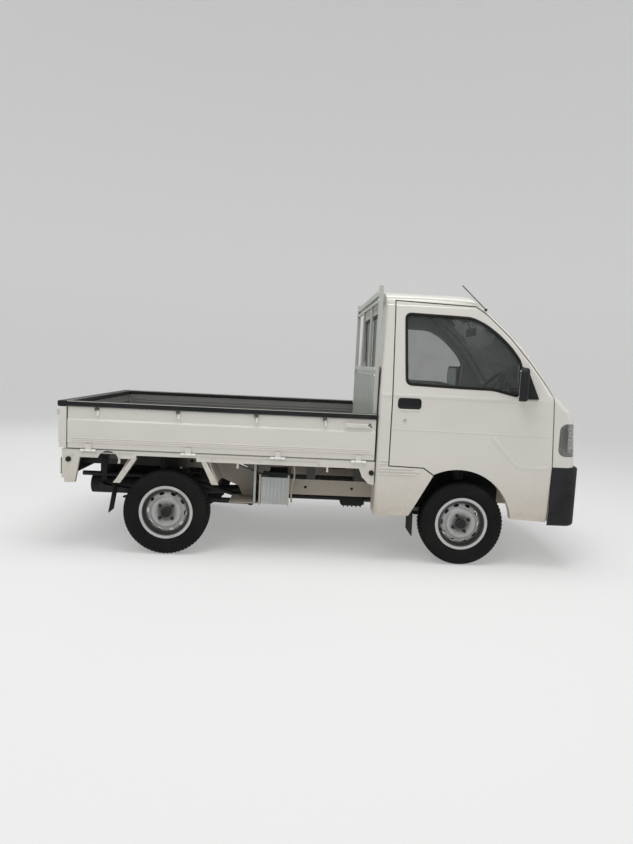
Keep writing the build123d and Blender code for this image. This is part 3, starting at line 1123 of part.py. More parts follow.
# Columns: top and foot place behind or ahead of the rear axle, foot height, which way the flange faces.
GUARDS = ((-215, -327, 452, 1), (242, 322, 463, -1))
with BuildPart() as rear_mudguards:
    for side, sign in SIDES:
        for top_x, foot_x, foot_z, way in GUARDS:
            top = REAR_AXLE_X + top_x
            foot = REAR_AXLE_X + foot_x
            top_z = DECK_Z - DECK_WALL
            back = way * GUARD_SHEET
            side_prism([(top, top_z), (top - back, top_z), (foot - back, foot_z), (foot, foot_z)],
                       (sign * 470, sign * (DECK_Y - 1)))
            side_prism([(top + way * GUARD_FLANGE / 2, SILL_BOTTOM_Z), (top - back, SILL_BOTTOM_Z),
                        (foot - back, foot_z), (foot + way * GUARD_FLANGE * 0.7, foot_z)],
                       (sign * (DECK_Y - 8), sign * (SILL_OUTER_Y - 4)))
save(rear_mudguards, "rear_mudguards")

# Mud flaps, behind the front and the rear wheels.
# Columns: top place, top height, foot place, foot height, inner edge, outer edge.
FLAP_WALL = 5
FLAPS = (
    (REAR_AXLE_X - 334, 452, REAR_AXLE_X - 369, 246, 560, DECK_Y - 26),
    (HOUSE_REAR_X + FLAP_WALL + 1, 400, HOUSE_REAR_X + FLAP_WALL + 4, 172, 478, FLOOR_Y - 6),
)
with BuildPart() as mud_flaps:
    for side, sign in SIDES:
        for top_x, top_z, foot_x, foot_z, inner_y, outer_y in FLAPS:
            side_prism([(top_x, top_z), (top_x - FLAP_WALL, top_z),
                        (foot_x - FLAP_WALL, foot_z), (foot_x, foot_z)],
                       (sign * inner_y, sign * outer_y))
save(mud_flaps, "mud_flaps")
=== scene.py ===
import json
from math import cos, pi, radians, sin

import bmesh
import bpy
from bpy.props import FloatProperty, FloatVectorProperty, IntProperty, PointerProperty
from mathutils import Matrix, Vector
from mathutils.bvhtree import BVHTree


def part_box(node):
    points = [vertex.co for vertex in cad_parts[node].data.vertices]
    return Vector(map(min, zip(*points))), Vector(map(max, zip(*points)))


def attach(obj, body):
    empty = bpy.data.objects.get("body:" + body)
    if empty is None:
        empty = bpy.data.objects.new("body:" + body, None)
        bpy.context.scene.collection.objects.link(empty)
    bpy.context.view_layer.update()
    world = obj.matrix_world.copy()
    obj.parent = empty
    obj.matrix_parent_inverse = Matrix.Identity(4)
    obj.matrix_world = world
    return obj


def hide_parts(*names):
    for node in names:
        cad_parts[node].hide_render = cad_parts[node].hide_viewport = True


bl_info = {
    "name": "Kei truck",
    "version": (1, 0, 0),
    "blender": (4, 5, 0),
    "location": "View3D > Sidebar > Truck",
    "description": "Dresses the packed model of a small flat-bed truck",
    "category": "Object",
}

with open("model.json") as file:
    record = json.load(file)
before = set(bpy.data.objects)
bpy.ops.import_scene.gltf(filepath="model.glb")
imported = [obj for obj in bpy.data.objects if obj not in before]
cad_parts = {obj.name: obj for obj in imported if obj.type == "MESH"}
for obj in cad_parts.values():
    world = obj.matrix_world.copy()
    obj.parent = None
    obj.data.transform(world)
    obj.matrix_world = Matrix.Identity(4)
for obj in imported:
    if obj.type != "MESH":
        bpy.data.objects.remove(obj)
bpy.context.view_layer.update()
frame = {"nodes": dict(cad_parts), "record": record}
nodes = frame["nodes"]

# The truck's own places, in metres. +X is forward, +Y is to the truck's left.
SIDES = (("right", -1), ("left", 1))
SIGNS = (-1, 1)
NOSE_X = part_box("front_bumper")[1].x
CAB_REAR_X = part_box("cab_back_panel")[0].x
FRONT_AXLE_X = (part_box("tyre_front_right")[0].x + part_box("tyre_front_right")[1].x) / 2
REAR_AXLE_X = (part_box("tyre_rear_right")[0].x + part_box("tyre_rear_right")[1].x) / 2
HALF_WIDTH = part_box("door_left")[1].y
WHEEL_Y = 0.650
AXLE_Z = 0.271
SEAT_Y = 0.33

# Places of the side gates' hinges and pins along the truck
SIDE_HINGES = (REAR_AXLE_X - 0.484, REAR_AXLE_X + 0.136, REAR_AXLE_X + 0.697, CAB_REAR_X - 0.114)
GATE_PINS = (REAR_AXLE_X - 0.430, REAR_AXLE_X + 0.069, REAR_AXLE_X + 0.555, CAB_REAR_X - 0.336)

# The wheels. Columns: name, place along the truck, side, turn of the nuts and of the valve in degrees.
WHEELS = (
    ("front_right", FRONT_AXLE_X, -1, 28, 200),
    ("front_left", FRONT_AXLE_X, 1, 28, 200),
    ("rear_right", REAR_AXLE_X, -1, 45, 64),
    ("rear_left", REAR_AXLE_X, 1, 45, 64),
)

# Outlines of small round parts. Columns of a point: distance along the part's axis, radius.
WHEEL_NUT = ((0.0, 0.0125), (0.005, 0.0125), (0.006, 0.0098), (0.019, 0.0098), (0.021, 0.007), (0.021, 0.0))
HUB_CAP = ((0.036, 0.0345), (0.056, 0.0335), (0.062, 0.0300), (0.0645, 0.022), (0.0655, 0.0))
LATCH_BOLT = ((-0.004, 0.0065), (0.003, 0.0065), (0.005, 0.004), (0.005, 0.0))
DOOR_LOCK = ((-0.002, 0.0145), (0.0025, 0.0145), (0.004, 0.012), (0.003, 0.0095), (0.003, 0.0))
WIPER_PIVOT = ((-0.004, 0.016), (0.018, 0.013), (0.022, 0.0))
BUMPER_PLUG = ((-0.004, 0.062), (0.002, 0.062), (0.004, 0.058), (0.001, 0.052), (0.001, 0.0))
BUMPER_BOLT = ((-0.002, 0.008), (0.003, 0.007), (0.004, 0.0))
BULB = ((-0.011, 0.007), (0.002, 0.007), (0.006, 0.004), (0.007, 0.0))
GEAR_KNOB = ((0.0, 0.008), (0.012, 0.020), (0.032, 0.023), (0.046, 0.016), (0.052, 0.0))
GEAR_BOOT = ((0.0, 0.055), (0.018, 0.045), (0.045, 0.022), (0.060, 0.012))
DIAL = ((-0.003, 0.042), (0.002, 0.042), (0.003, 0.038), (0.0015, 0.036), (0.0015, 0.0))
GATE_STOP = ((-0.012, 0.0165), (0.008, 0.0165), (0.0105, 0.013), (0.0105, 0.0))
GUARD_BOLT = ((-0.003, 0.006), (0.003, 0.0055), (0.0045, 0.0))
HEADBOARD_BOLT = ((-0.002, 0.008), (0.004, 0.007), (0.006, 0.0))
SILL_BOLT = ((-0.002, 0.0065), (0.003, 0.006), (0.0045, 0.0))
RAIL_HOLE = ((-0.001, 0.010), (0.0008, 0.010), (0.0008, 0.0))
REAR_RAIL_HOLE = ((-0.001, 0.011), (0.0008, 0.011), (0.0008, 0.0))
DUCT_RING = ((-0.004, 0.030), (0.0, 0.036), (0.004, 0.030))

# Finishes that belong to a slot of another name in the record
SLOT_OF = {
    "bed_paint": "body_paint",
    "bed_inside": "body_paint",
    "hinge_highlight_paint": "cast_metal",
    "zinc": "cast_metal",
    "dark_bolt": "under_steel",
    "rusty_bolt": "under_steel",
    "undercoat": "under_steel",
    "seal_rubber": "flap_rubber",
    "cover_rubber": "flap_rubber",
    "mirror_glass": "window_glass",
    "reflector": "lamp_glass",
    "white_lens": "lamp_glass",
    "amber_lens": "red_lens",
}


class Shade:
    """A number, colour or vector on its way through a material's nodes."""

    def __init__(self, tree, socket):
        self.tree = tree
        self.socket = socket

    def math(self, operation, *values):
        return make_node(self.tree, "ShaderNodeMath", {"operation": operation}, dict(enumerate(values)))

    def __add__(self, other):
        return self.math("ADD", self, other)

    def __radd__(self, other):
        return self.math("ADD", other, self)

    def __sub__(self, other):
        return self.math("SUBTRACT", self, other)

    def __mul__(self, other):
        return self.math("MULTIPLY", self, other)

    def __rmul__(self, other):
        return self.math("MULTIPLY", other, self)

    def size(self):
        return self.math("ABSOLUTE", self)

    def between(self, low, high):
        """0 below low, 1 above high and smooth between; low may be the larger."""
        settings = {"interpolation_type": "SMOOTHSTEP"}
        inputs = {0: self, 1: low, 2: high, 3: 0.0, 4: 1.0}
        return make_node(self.tree, "ShaderNodeMapRange", settings, inputs)


def make_node(tree, kind, settings, inputs, output=0):
    """Adds a node: its settings first, then the values or links of its sockets."""
    made = tree.nodes.new(kind)
    for key, value in settings.items():
        setattr(made, key, value)
    for key, value in inputs.items():
        if isinstance(value, Shade):
            tree.links.new(value.socket, made.inputs[key])
        else:
            made.inputs[key].default_value = value
    return Shade(tree, made.outputs[output])


def mix(factor, first, second):
    """Goes from the first colour to the second as the factor rises."""
    settings = {"data_type": "RGBA"}
    colours = {6: first, 7: second}
    inputs = {0: factor, **{k: c if isinstance(c, Shade) else (*c[:3], 1.0) for k, c in colours.items()}}
    return make_node(factor.tree, "ShaderNodeMix", settings, inputs, 2)


finishes = {}


class Finish:
    """A material under way: places on the object, patterns and the one surface shader."""

    def __init__(self, name):
        self.name = name
        self.material = bpy.data.materials.new(name)
        self.material.use_nodes = True
        self.tree = self.material.node_tree
        self.shader = self.tree.nodes["Principled BSDF"]
        self.place = make_node(self.tree, "ShaderNodeTexCoord", {}, {}, "Object")

    def stretched(self, scale):
        inputs = {0: self.place, 1: scale}
        return make_node(self.tree, "ShaderNodeVectorMath", {"operation": "MULTIPLY"}, inputs)

    def noise(self, scale, detail=3.0, roughness=0.55, stretch=None):
        place = self.stretched(stretch) if stretch else self.place
        inputs = {"Vector": place, "Scale": scale, "Detail": detail, "Roughness": roughness}
        return make_node(self.tree, "ShaderNodeTexNoise", {}, inputs)

    def cells(self, scale):
        return make_node(self.tree, "ShaderNodeTexVoronoi", {}, {"Vector": self.place, "Scale": scale})

    def axis(self, index):
        return make_node(self.tree, "ShaderNodeSeparateXYZ", {}, {0: self.place}, index)

    def bump(self, height, strength, distance):
        inputs = {"Height": height, "Strength": strength, "Distance": distance}
        return make_node(self.tree, "ShaderNodeBump", {}, inputs)

    def set(self, **sockets):
        for key, value in sockets.items():
            socket = self.shader.inputs[key.replace("_", " ").title().replace("Ior", "IOR")]
            if isinstance(value, Shade):
                self.tree.links.new(value.socket, socket)
            elif isinstance(value, (tuple, list)) and len(value) == 3:
                socket.default_value = (*value, 1.0)
            else:
                socket.default_value = value
        finishes[self.name] = self.material


DUST = (0.42, 0.33, 0.23)
RUST = (0.17, 0.065, 0.025)
# Near black for the undercoat under the bed, which also paints the shade that falls there
UNDERCOAT_AND_SHADE = (0.013, 0.012, 0.011)
LENS_RIBS = 260.0


def painted(name, colour, dust_top, dust, rust=0.0, roughness=0.3, coat=0.35, undercoat_and_shade=()):
    """Old paint on steel: dust that thickens towards the ground, run-down streaks, chips and rust.

    Places in the last argument get near-black undercoat and painted shade. Columns: axis, where it starts,
    where it is full.
    """
    finish = Finish(name)
    height = finish.axis(2)
    broad = finish.noise(2.6, 4.0)
    fine = finish.noise(46.0, 4.0, 0.65)
    streaks = finish.noise(9.0, 4.0, 0.6, (3.2, 3.2, 0.28))
    low = height.between(dust_top, 0.22)
    dirt = (low * (0.35 + 0.9 * broad) + streaks.between(0.60, 0.82) * 0.12) * (0.55 + 0.9 * fine) * dust
    shade = mix(broad.between(0.25, 0.75), [c * 0.965 for c in colour], colour)
    shade = mix(dirt.between(0.0, 1.1), shade, DUST)
    chips = finish.cells(34.0).between(0.075, 0.055) * finish.noise(3.4, 2.0).between(0.60, 0.66)
    shade = mix(chips, shade, RUST)
    eaten = finish.noise(11.0, 6.0, 0.7).between(0.72 - 0.35 * rust, 0.80 - 0.30 * rust) if rust else None
    if eaten:
        shade = mix(eaten * min(1.0, 0.5 + rust), shade, mix(fine, RUST, (0.30, 0.13, 0.05)))
    # Places under the bed are painted near black: undercoat and painted shade
    cover = 1.0
    for index, start, full in undercoat_and_shade:
        place = finish.axis(index)
        cover = (place.size() if index == 1 else place).between(start, full) * cover
    if undercoat_and_shade:
        shade = mix(cover, shade, UNDERCOAT_AND_SHADE)
    gloss = roughness + dirt * 0.45
    if eaten:
        gloss = gloss + eaten * 0.35
    skin = finish.bump(finish.noise(310.0, 1.0) + fine * 0.6, 0.05, 0.001)
    finish.set(base_color=shade, roughness=gloss, coat_weight=coat, coat_roughness=0.12, normal=skin)


def moulded(name, colour, roughness, grain, dust, dust_top=0.9, shine=0.5):
    """Grained plastic or rubber, greyed by the sun, with dust in the grain."""
    finish = Finish(name)
    broad = finish.noise(5.0, 4.0)
    fine = finish.noise(60.0, 4.0, 0.65)
    low = finish.axis(2).between(dust_top, 0.15)
    dirt = (0.25 + low) * (0.2 + broad) * (0.4 + fine) * dust
    faded = [c * 1.3 + 0.006 for c in colour]
    shade = mix(broad.between(0.3, 0.7), colour, faded)
    shade = mix(dirt.between(0.0, 0.9), shade, DUST)
    skin = finish.bump(finish.cells(620.0), grain, 0.0006)
    gloss = (fine - 0.5) * 0.15 + roughness
    finish.set(base_color=shade, roughness=gloss, specular_ior_level=shine, normal=skin)


def tyre_rubber(name):
    """Tyre rubber: near black with a fine grain, and patches of dust."""
    finish = Finish(name)
    fine = finish.noise(85.0, 4.0, 0.65)
    broad = finish.noise(6.0, 4.0)
    dirt = broad.between(0.35, 0.8) * (0.35 + fine) * 0.42
    shade = mix(fine, (0.005, 0.005, 0.0055), (0.011, 0.011, 0.011))
    shade = mix(dirt * 0.30, shade, (0.07, 0.06, 0.05))
    skin = finish.bump(fine, 0.18, 0.001)
    finish.set(base_color=shade, roughness=0.62 + dirt * 0.3, specular_ior_level=0.10, normal=skin)


# Places on a wheel by radius, where each starts and where it is full, in metres
HUB_DIRT = (0.072, 0.046)
# The channel by the rim, which gets dirt and painted shade
CHANNEL_INNER = (0.118, 0.134)
CHANNEL_OUTER = (0.156, 0.149)
# The rim's lip, which gets a painted highlight
LIP_HIGHLIGHT = (0.148, 0.156)


def wheel_steel(name):
    """Dull silver paint with rust spots, hub dirt, dirt and painted shade in the rim's channel, a painted
    highlight on its lip.
    """
    finish = Finish(name)
    fine = finish.noise(120.0, 4.0, 0.7)
    broad = finish.noise(9.0, 4.0)
    along = finish.axis(0)
    near = finish.place.math("MINIMUM", (along - FRONT_AXLE_X).size(), (along - REAR_AXLE_X).size())
    rise = finish.axis(2) - AXLE_Z
    radius = near.math("SQRT", near * near + rise * rise)
    # The channel by the rim is darkened: dirt and painted shade in the recess
    channel = radius.between(*CHANNEL_INNER) * radius.between(*CHANNEL_OUTER) * 0.85
    hub = radius.between(*HUB_DIRT) * (0.35 + 0.8 * broad)
    shade = mix(fine, (0.31, 0.31, 0.31), (0.50, 0.50, 0.495))
    # A painted highlight: the rim's lip is lighter
    shade = mix(radius.between(*LIP_HIGHLIGHT), shade, (0.55, 0.55, 0.545))
    shade = mix(broad.between(0.45, 0.85) * 0.5, shade, (0.20, 0.17, 0.14))
    spots = finish.noise(38.0, 5.0, 0.75).between(0.66, 0.74)
    shade = mix(spots * 0.6, shade, RUST)
    shade = mix(channel + hub, shade, (0.045, 0.040, 0.035))
    gloss = 0.36 + fine * 0.18 + spots * 0.3
    finish.set(base_color=shade, roughness=gloss, metallic=0.35, normal=finish.bump(fine, 0.06, 0.001))


def bare_metal(name, colour, roughness, rust):
    """Zinc, cast or bare steel with stains and rust."""
    finish = Finish(name)
    fine = finish.noise(90.0, 4.0, 0.7)
    shade = mix(fine, [c * 0.75 for c in colour], colour)
    spots = finish.noise(16.0, 5.0, 0.75).between(0.62 - 0.3 * rust, 0.78 - 0.2 * rust)
    shade = mix(spots * rust, shade, mix(fine, RUST, (0.32, 0.15, 0.07)))
    gloss = roughness + spots * 0.3
    finish.set(base_color=shade, roughness=gloss, metallic=0.8, normal=finish.bump(fine, 0.15, 0.001))


def vinyl(name, colour):
    """Seat vinyl with a leather grain and a soft sheen."""
    finish = Finish(name)
    grain = finish.cells(340.0)
    worn = finish.noise(7.0, 4.0)
    shade = mix(worn.between(0.35, 0.75), colour, [c * 1.35 + 0.01 for c in colour])
    skin = finish.bump(grain, 0.35, 0.0008)
    finish.set(base_color=shade, roughness=0.48 + worn * 0.15, normal=skin)


def clear_glass(name, colour, see_through, roughness=0.03):
    """Window or lamp glass: clear when looked through straight, duller at a slant, with a dusty haze."""
    finish = Finish(name)
    slant = make_node(finish.tree, "ShaderNodeFresnel", {}, {"IOR": 1.5})
    haze = finish.noise(14.0, 4.0).between(0.35, 0.9) * 0.05
    solid = (1.0 - see_through) + slant.between(0.03, 0.5) * (see_through * 0.85) + haze
    shade = mix(haze * 3.0, colour, (0.35, 0.33, 0.30))
    finish.set(base_color=shade, roughness=roughness, alpha=solid)


def lens(name, colour):
    """Coloured lamp plastic with fine upright ribs."""
    finish = Finish(name)
    inputs = {"Vector": finish.place, "Scale": LENS_RIBS}
    wave = make_node(finish.tree, "ShaderNodeTexWave", {"bands_direction": "Y"}, inputs)
    shade = mix(wave, [c * 0.6 for c in colour], colour)
    skin = finish.bump(wave, 0.25, 0.001)
    finish.set(base_color=shade, roughness=0.12, coat_weight=0.6, normal=skin)


# How finely beads and round corners are drawn. With a fullness of 1 a bead is half an ellipse, less is fuller.
BEAD_STEPS = 6
BEAD_FULLNESS = 0.7
CORNER_STEPS = 5


def new_piece(name, work, finish, body="chassis", smooth=35, slot=None):
    """Turns finished mesh work into a piece with a finish, which rides on a body."""
    bmesh.ops.recalc_face_normals(work, faces=work.faces)
    data = bpy.data.meshes.new(name)
    work.to_mesh(data)
    work.free()
    piece = bpy.data.objects.new(name, data)
    bpy.context.scene.collection.objects.link(piece)
    data.shade_smooth()
    data.set_sharp_from_angle(angle=radians(smooth))
    data.materials.append(finishes[finish])
    slot = slot or SLOT_OF.get(finish, finish)
    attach(piece, body)
    return piece


def add_block(work, low, high, round_by=0.0, steps=2, turn=None):
    """Adds a box between two corners, with round edges, turned about its middle if asked."""
    made = bmesh.ops.create_cube(work, size=1.0)["verts"]
    low, high = Vector(low), Vector(high)
    for vert in made:
        vert.co = [low[i] if vert.co[i] < 0 else high[i] for i in range(3)]
    if round_by:
        edges = list({edge for vert in made for edge in vert.link_edges})
        result = bmesh.ops.bevel(work, geom=edges, offset=round_by, segments=steps, profile=0.5,
                                 affect="EDGES")
        made = list({vert for face in result["faces"] for vert in face.verts})
    if turn:
        bmesh.ops.rotate(work, verts=made, cent=(low + high) / 2, matrix=turn)


def join_rings(work, rings, closed=False):
    """Joins rings of points into a skin. Its ends are filled, unless the last ring meets the first."""
    line = rings + rings[:1] if closed else rings
    for first, second in zip(line, line[1:]):
        for k in range(len(first)):
            after = (k + 1) % len(first)
            work.faces.new((first[k], first[after], second[after], second[k]))
    if not closed:
        work.faces.new(rings[0])
        work.faces.new(rings[-1])


def polar(radius, angle, rise):
    """A place by its distance and angle about the Z axis, and its height along it."""
    return Vector((radius * cos(angle), radius * sin(angle), rise))


def add_lathe(work, profile, centre, axis, steps):
    """Turns an outline about an axis. Columns of the profile: distance along the axis, radius."""
    spin = Vector((0, 0, 1)).rotation_difference(Vector(axis)).to_matrix().to_4x4()
    place = Matrix.Translation(centre) @ spin
    rings = []
    for along, radius in profile:
        if radius < 1e-6:
            rings.append([work.verts.new(place @ Vector((0, 0, along)))])
            continue
        spots = (polar(radius, 2 * pi * k / steps, along) for k in range(steps))
        rings.append([work.verts.new(place @ spot) for spot in spots])
    for first, second in zip(rings, rings[1:]):
        for k in range(steps):
            corner = (first[k % len(first)], first[(k + 1) % len(first)],
                      second[(k + 1) % len(second)], second[k % len(second)])
            work.faces.new(dict.fromkeys(corner))


def smooth_path(points, steps=6):
    """A smooth line through its points, by Catmull-Rom pieces."""
    points = [Vector(p) for p in points]
    last = len(points) - 1
    line = []
    for i in range(last):
        a, b, c, d = (points[min(max(i + k - 1, 0), last)] for k in range(4))
        for step in range(steps):
            t = step / steps
            line.append(0.5 * (2 * b + (c - a) * t + (2 * a - 5 * b + 4 * c - d) * t ** 2
                               + (3 * b - a - 3 * c + d) * t ** 3))
    return line + [points[-1]]


def add_tube(work, points, radius, steps=8):
    """A round bar along a line. The radius may be one number, or one for each point."""
    points = [Vector(p) for p in points]
    radii = radius if isinstance(radius, (list, tuple)) else [radius] * len(points)
    last = len(points) - 1
    across = None
    rings = []
    for i, point in enumerate(points):
        along = (points[min(i + 1, last)] - points[max(i - 1, 0)]).normalized()
        if across is None:
            across = along.orthogonal().normalized()
        across = (across - along * across.dot(along)).normalized()
        other = along.cross(across)
        offsets = (polar(radii[i], 2 * pi * k / steps, 0) for k in range(steps))
        rings.append([work.verts.new(point + spot.x * across + spot.y * other) for spot in offsets])
    join_rings(work, rings)


def add_bead(work, line, width, height, closed=False, sink=0.0015):
    """A low rounded band on a surface. Each place of its line is a point and the surface's normal there."""
    count = len(line)
    rings = []
    for i, (point, normal) in enumerate(line):
        ahead = line[(i + 1) % count][0] if closed else line[min(i + 1, count - 1)][0]
        behind = line[i - 1][0] if closed else line[max(i - 1, 0)][0]
        across = (ahead - behind).normalized().cross(normal).normalized()
        ring = []
        for k in range(BEAD_STEPS + 1):
            angle = pi * k / BEAD_STEPS
            lift = sin(angle) ** BEAD_FULLNESS * (height + sink) - sink
            ring.append(work.verts.new(point + across * cos(angle) * width / 2 + normal * lift))
        rings.append(ring)
    join_rings(work, rings, closed)


def surface_of(*names):
    """A search tree over CAD nodes, to lay trim on them."""
    work = bmesh.new()
    for name in names:
        work.from_mesh(nodes[name].data)
    tree = BVHTree.FromBMesh(work)
    work.free()
    return tree


def laid(tree, points, origin, direction):
    """Lays a line on a surface: each point is sent along a direction until it meets the surface."""
    line = []
    for point in points:
        start = Vector([p if o is None else o for p, o in zip(point, origin)])
        place, normal, _, _ = tree.ray_cast(start, Vector(direction))
        if place is not None:
            line.append((place, normal if normal.dot(Vector(direction)) < 0 else -normal))
    return line


def on_side(tree, points, sign):
    """Lays a side-view line on one side of the truck. Columns of a point: place along the truck, height."""
    return laid(tree, [(x, 0, z) for x, z in points], (None, sign * 1.2, None), (0, -sign, 0))


def on_front(tree, points):
    """Lays a front-view line on the truck's front. Columns of a point: place across, height."""
    return laid(tree, [(0, y, z) for y, z in points], (2.4, None, None), (-1, 0, 0))


def straight(start, end, steps):
    """Evenly spaced points from one place to another."""
    start, end = Vector(start), Vector(end)
    return [tuple(start.lerp(end, k / steps)) for k in range(steps + 1)]


def round_corners(points, radius):
    """A closed outline in a flat view, with each corner rounded."""
    points = [Vector(p) for p in points]
    line = []
    for i, corner in enumerate(points):
        back = points[i - 1] - corner
        ahead = points[(i + 1) % len(points)] - corner
        reach = min(radius, back.length / 2.1, ahead.length / 2.1)
        start = corner + back.normalized() * reach
        end = corner + ahead.normalized() * reach
        for k in range(CORNER_STEPS + 1):
            t = k / CORNER_STEPS
            line.append(tuple(start * (1 - t) ** 2 + corner * 2 * t * (1 - t) + end * t ** 2))
    return line


def rectangle(low_u, low_v, high_u, high_v, radius):
    """A flat rectangle with round corners."""
    return round_corners([(low_u, low_v), (high_u, low_v), (high_u, high_v), (low_u, high_v)], radius)


def dense(points, gap):
    """Adds points to a closed flat outline, so that its steps are about as long as the gap."""
    line = []
    for first, second in zip(points, points[1:] + points[:1]):
        count = max(1, int((Vector(second) - Vector(first)).length / gap))
        line += straight(first, second, count)[:-1]
    return line


def colour_setting(name, description, default):
    """A colour that a user can change."""
    return FloatVectorProperty(name=name, description=description, subtype="COLOR", size=3, default=default)


class TruckSettings(bpy.types.PropertyGroup):
    """Sizes and colours that a user would change."""

    paint_colour: colour_setting("Paint", "Body paint", (0.67, 0.652, 0.602))
    frame_colour: colour_setting("Frame", "Frame paint", (0.42, 0.385, 0.325))
    # The bed's inside is dark grey: worn paint, darkened further as painted shade inside the bed
    bed_colour: colour_setting(
        "Bed inside", "Worn paint of the deck and the gates' inner faces", (0.17, 0.172, 0.17))
    headboard_colour: colour_setting("Headboard", "Headboard paint", (0.46, 0.48, 0.44))
    trim_colour: colour_setting("Trim", "Bumper, mirror and handle plastic", (0.014, 0.0145, 0.016))
    dust: FloatProperty(
        name="Dust", description="How dusty the lower body is", min=0.0, max=1.5, default=0.70,
        subtype="FACTOR")
    cover_roundness: FloatProperty(
        name="Cover rounding", description="Edge radius of the gate covers", unit="LENGTH", default=0.010)
    tread_blocks: IntProperty(
        name="Tread blocks", description="Shoulder blocks round a tyre", min=24, max=120, default=66)
    tread_depth: FloatProperty(
        name="Tread depth", description="Depth of the tyre grooves", unit="LENGTH", default=0.006)
    floor_colour: colour_setting("Floor", "Floor and backdrop", (0.55, 0.55, 0.545))


def settings():
    """The truck's sizes and colours as they are set now."""
    return bpy.context.scene.truck_settings


# The stage is a round floor that curves up into a wall, in metres. It glows a little, so that it stays pale.
FLOOR_RADIUS = 12.0
FLOOR_CURVE = 4.0
FLOOR_DROP = 0.0005
WALL_TOP = 13.0
FLOOR_GLOW = 0.55
SKY_COLOUR = (0.93, 0.96, 1.0, 1.0)
SKY_STRENGTH = 0.28

# The lamps. Columns: name, place, size, power in watts, what it points at.
LAMPS = (
    ("key", (-2.6, -5.0, 6.2), 3.0, 100, (0, 0, 0.7)),
    ("top", (0.3, -1.2, 6.5), 4.0, 230, (0, 0, 0.5)),
    ("front", (6.0, -2.5, 3.0), 3.0, 40, (0.5, 0, 0.8)),
    ("back", (-4.5, 4.5, 4.0), 3.5, 45, (0, 0, 0.8)),
)

# The camera's place, its yaw, pitch and roll in degrees, and its lens in millimetres
CAMERA_PLACE = (-0.2147, -4.509, 1.254)
CAMERA_TURN = (-2.09, -5.44, 2.76)
CAMERA_LENS = 25.80


class TRUCK_OT_stage(bpy.types.Operator):
    """Sets the floor, the light and the camera"""
    bl_idname = "truck.stage"
    bl_label = "Stage"

    def execute(self, context):
        scene = context.scene
        scene.view_settings.view_transform = "Standard"
        work = bmesh.new()
        curve = [(FLOOR_CURVE * (1 - cos(a)), FLOOR_RADIUS + FLOOR_CURVE * sin(a))
                 for a in (radians(d) for d in range(0, 91, 10))]
        bowl = [(0.0, 0.0)] + curve + [(WALL_TOP, FLOOR_RADIUS + FLOOR_CURVE)]
        add_lathe(work, bowl, (0, 0, -FLOOR_DROP), (0, 0, 1), 96)
        data = bpy.data.meshes.new("floor")
        work.to_mesh(data)
        work.free()
        data.shade_smooth()
        floor = bpy.data.objects.new("floor", data)
        scene.collection.objects.link(floor)
        finish = Finish("floor")
        floor_shade = tuple(settings().floor_colour)
        pale = mix(finish.noise(0.8), [c * 0.985 for c in floor_shade], floor_shade)
        finish.set(base_color=pale, roughness=0.9, emission_color=floor_shade, emission_strength=FLOOR_GLOW)
        data.materials.append(finish.material)
        world = bpy.data.worlds.new("light")
        world.use_nodes = True
        sky = world.node_tree.nodes["Background"]
        sky.inputs["Color"].default_value = SKY_COLOUR
        sky.inputs["Strength"].default_value = SKY_STRENGTH
        scene.world = world
        for name, place, size, power, target in LAMPS:
            light = bpy.data.lights.new(name, "AREA")
            light.size = size
            light.energy = power
            lamp = bpy.data.objects.new(name, light)
            lamp.location = place
            lamp.rotation_euler = (Vector(target) - Vector(place)).to_track_quat("-Z", "Y").to_euler()
            scene.collection.objects.link(lamp)
        yaw, pitch, roll = (radians(a) for a in CAMERA_TURN)
        ahead = Vector((-sin(yaw) * cos(pitch), cos(yaw) * cos(pitch), sin(pitch)))
        level = Vector((cos(yaw), sin(yaw), 0))
        up = level.cross(ahead)
        right = cos(roll) * level + sin(roll) * up
        top = -sin(roll) * level + cos(roll) * up
        shot = bpy.data.cameras.new("camera")
        shot.lens = CAMERA_LENS
        camera = bpy.data.objects.new("camera", shot)
        facing = Matrix((right, top, -ahead)).transposed().to_4x4()
        camera.matrix_world = Matrix.Translation(CAMERA_PLACE) @ facing
        scene.collection.objects.link(camera)
        scene.camera = camera
        return {"FINISHED"}


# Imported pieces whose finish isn't named like their slot
NODE_FINISH = {
    "bed_deck": "bed_inside",
    "bed_frame": "bed_frame_paint",
    "rear_mudguards": "bed_paint",
    "side_gate_right": "bed_paint",
    "side_gate_left": "bed_paint",
    "tailgate": "bed_paint",
    "cab_floor": "undercoat",
}


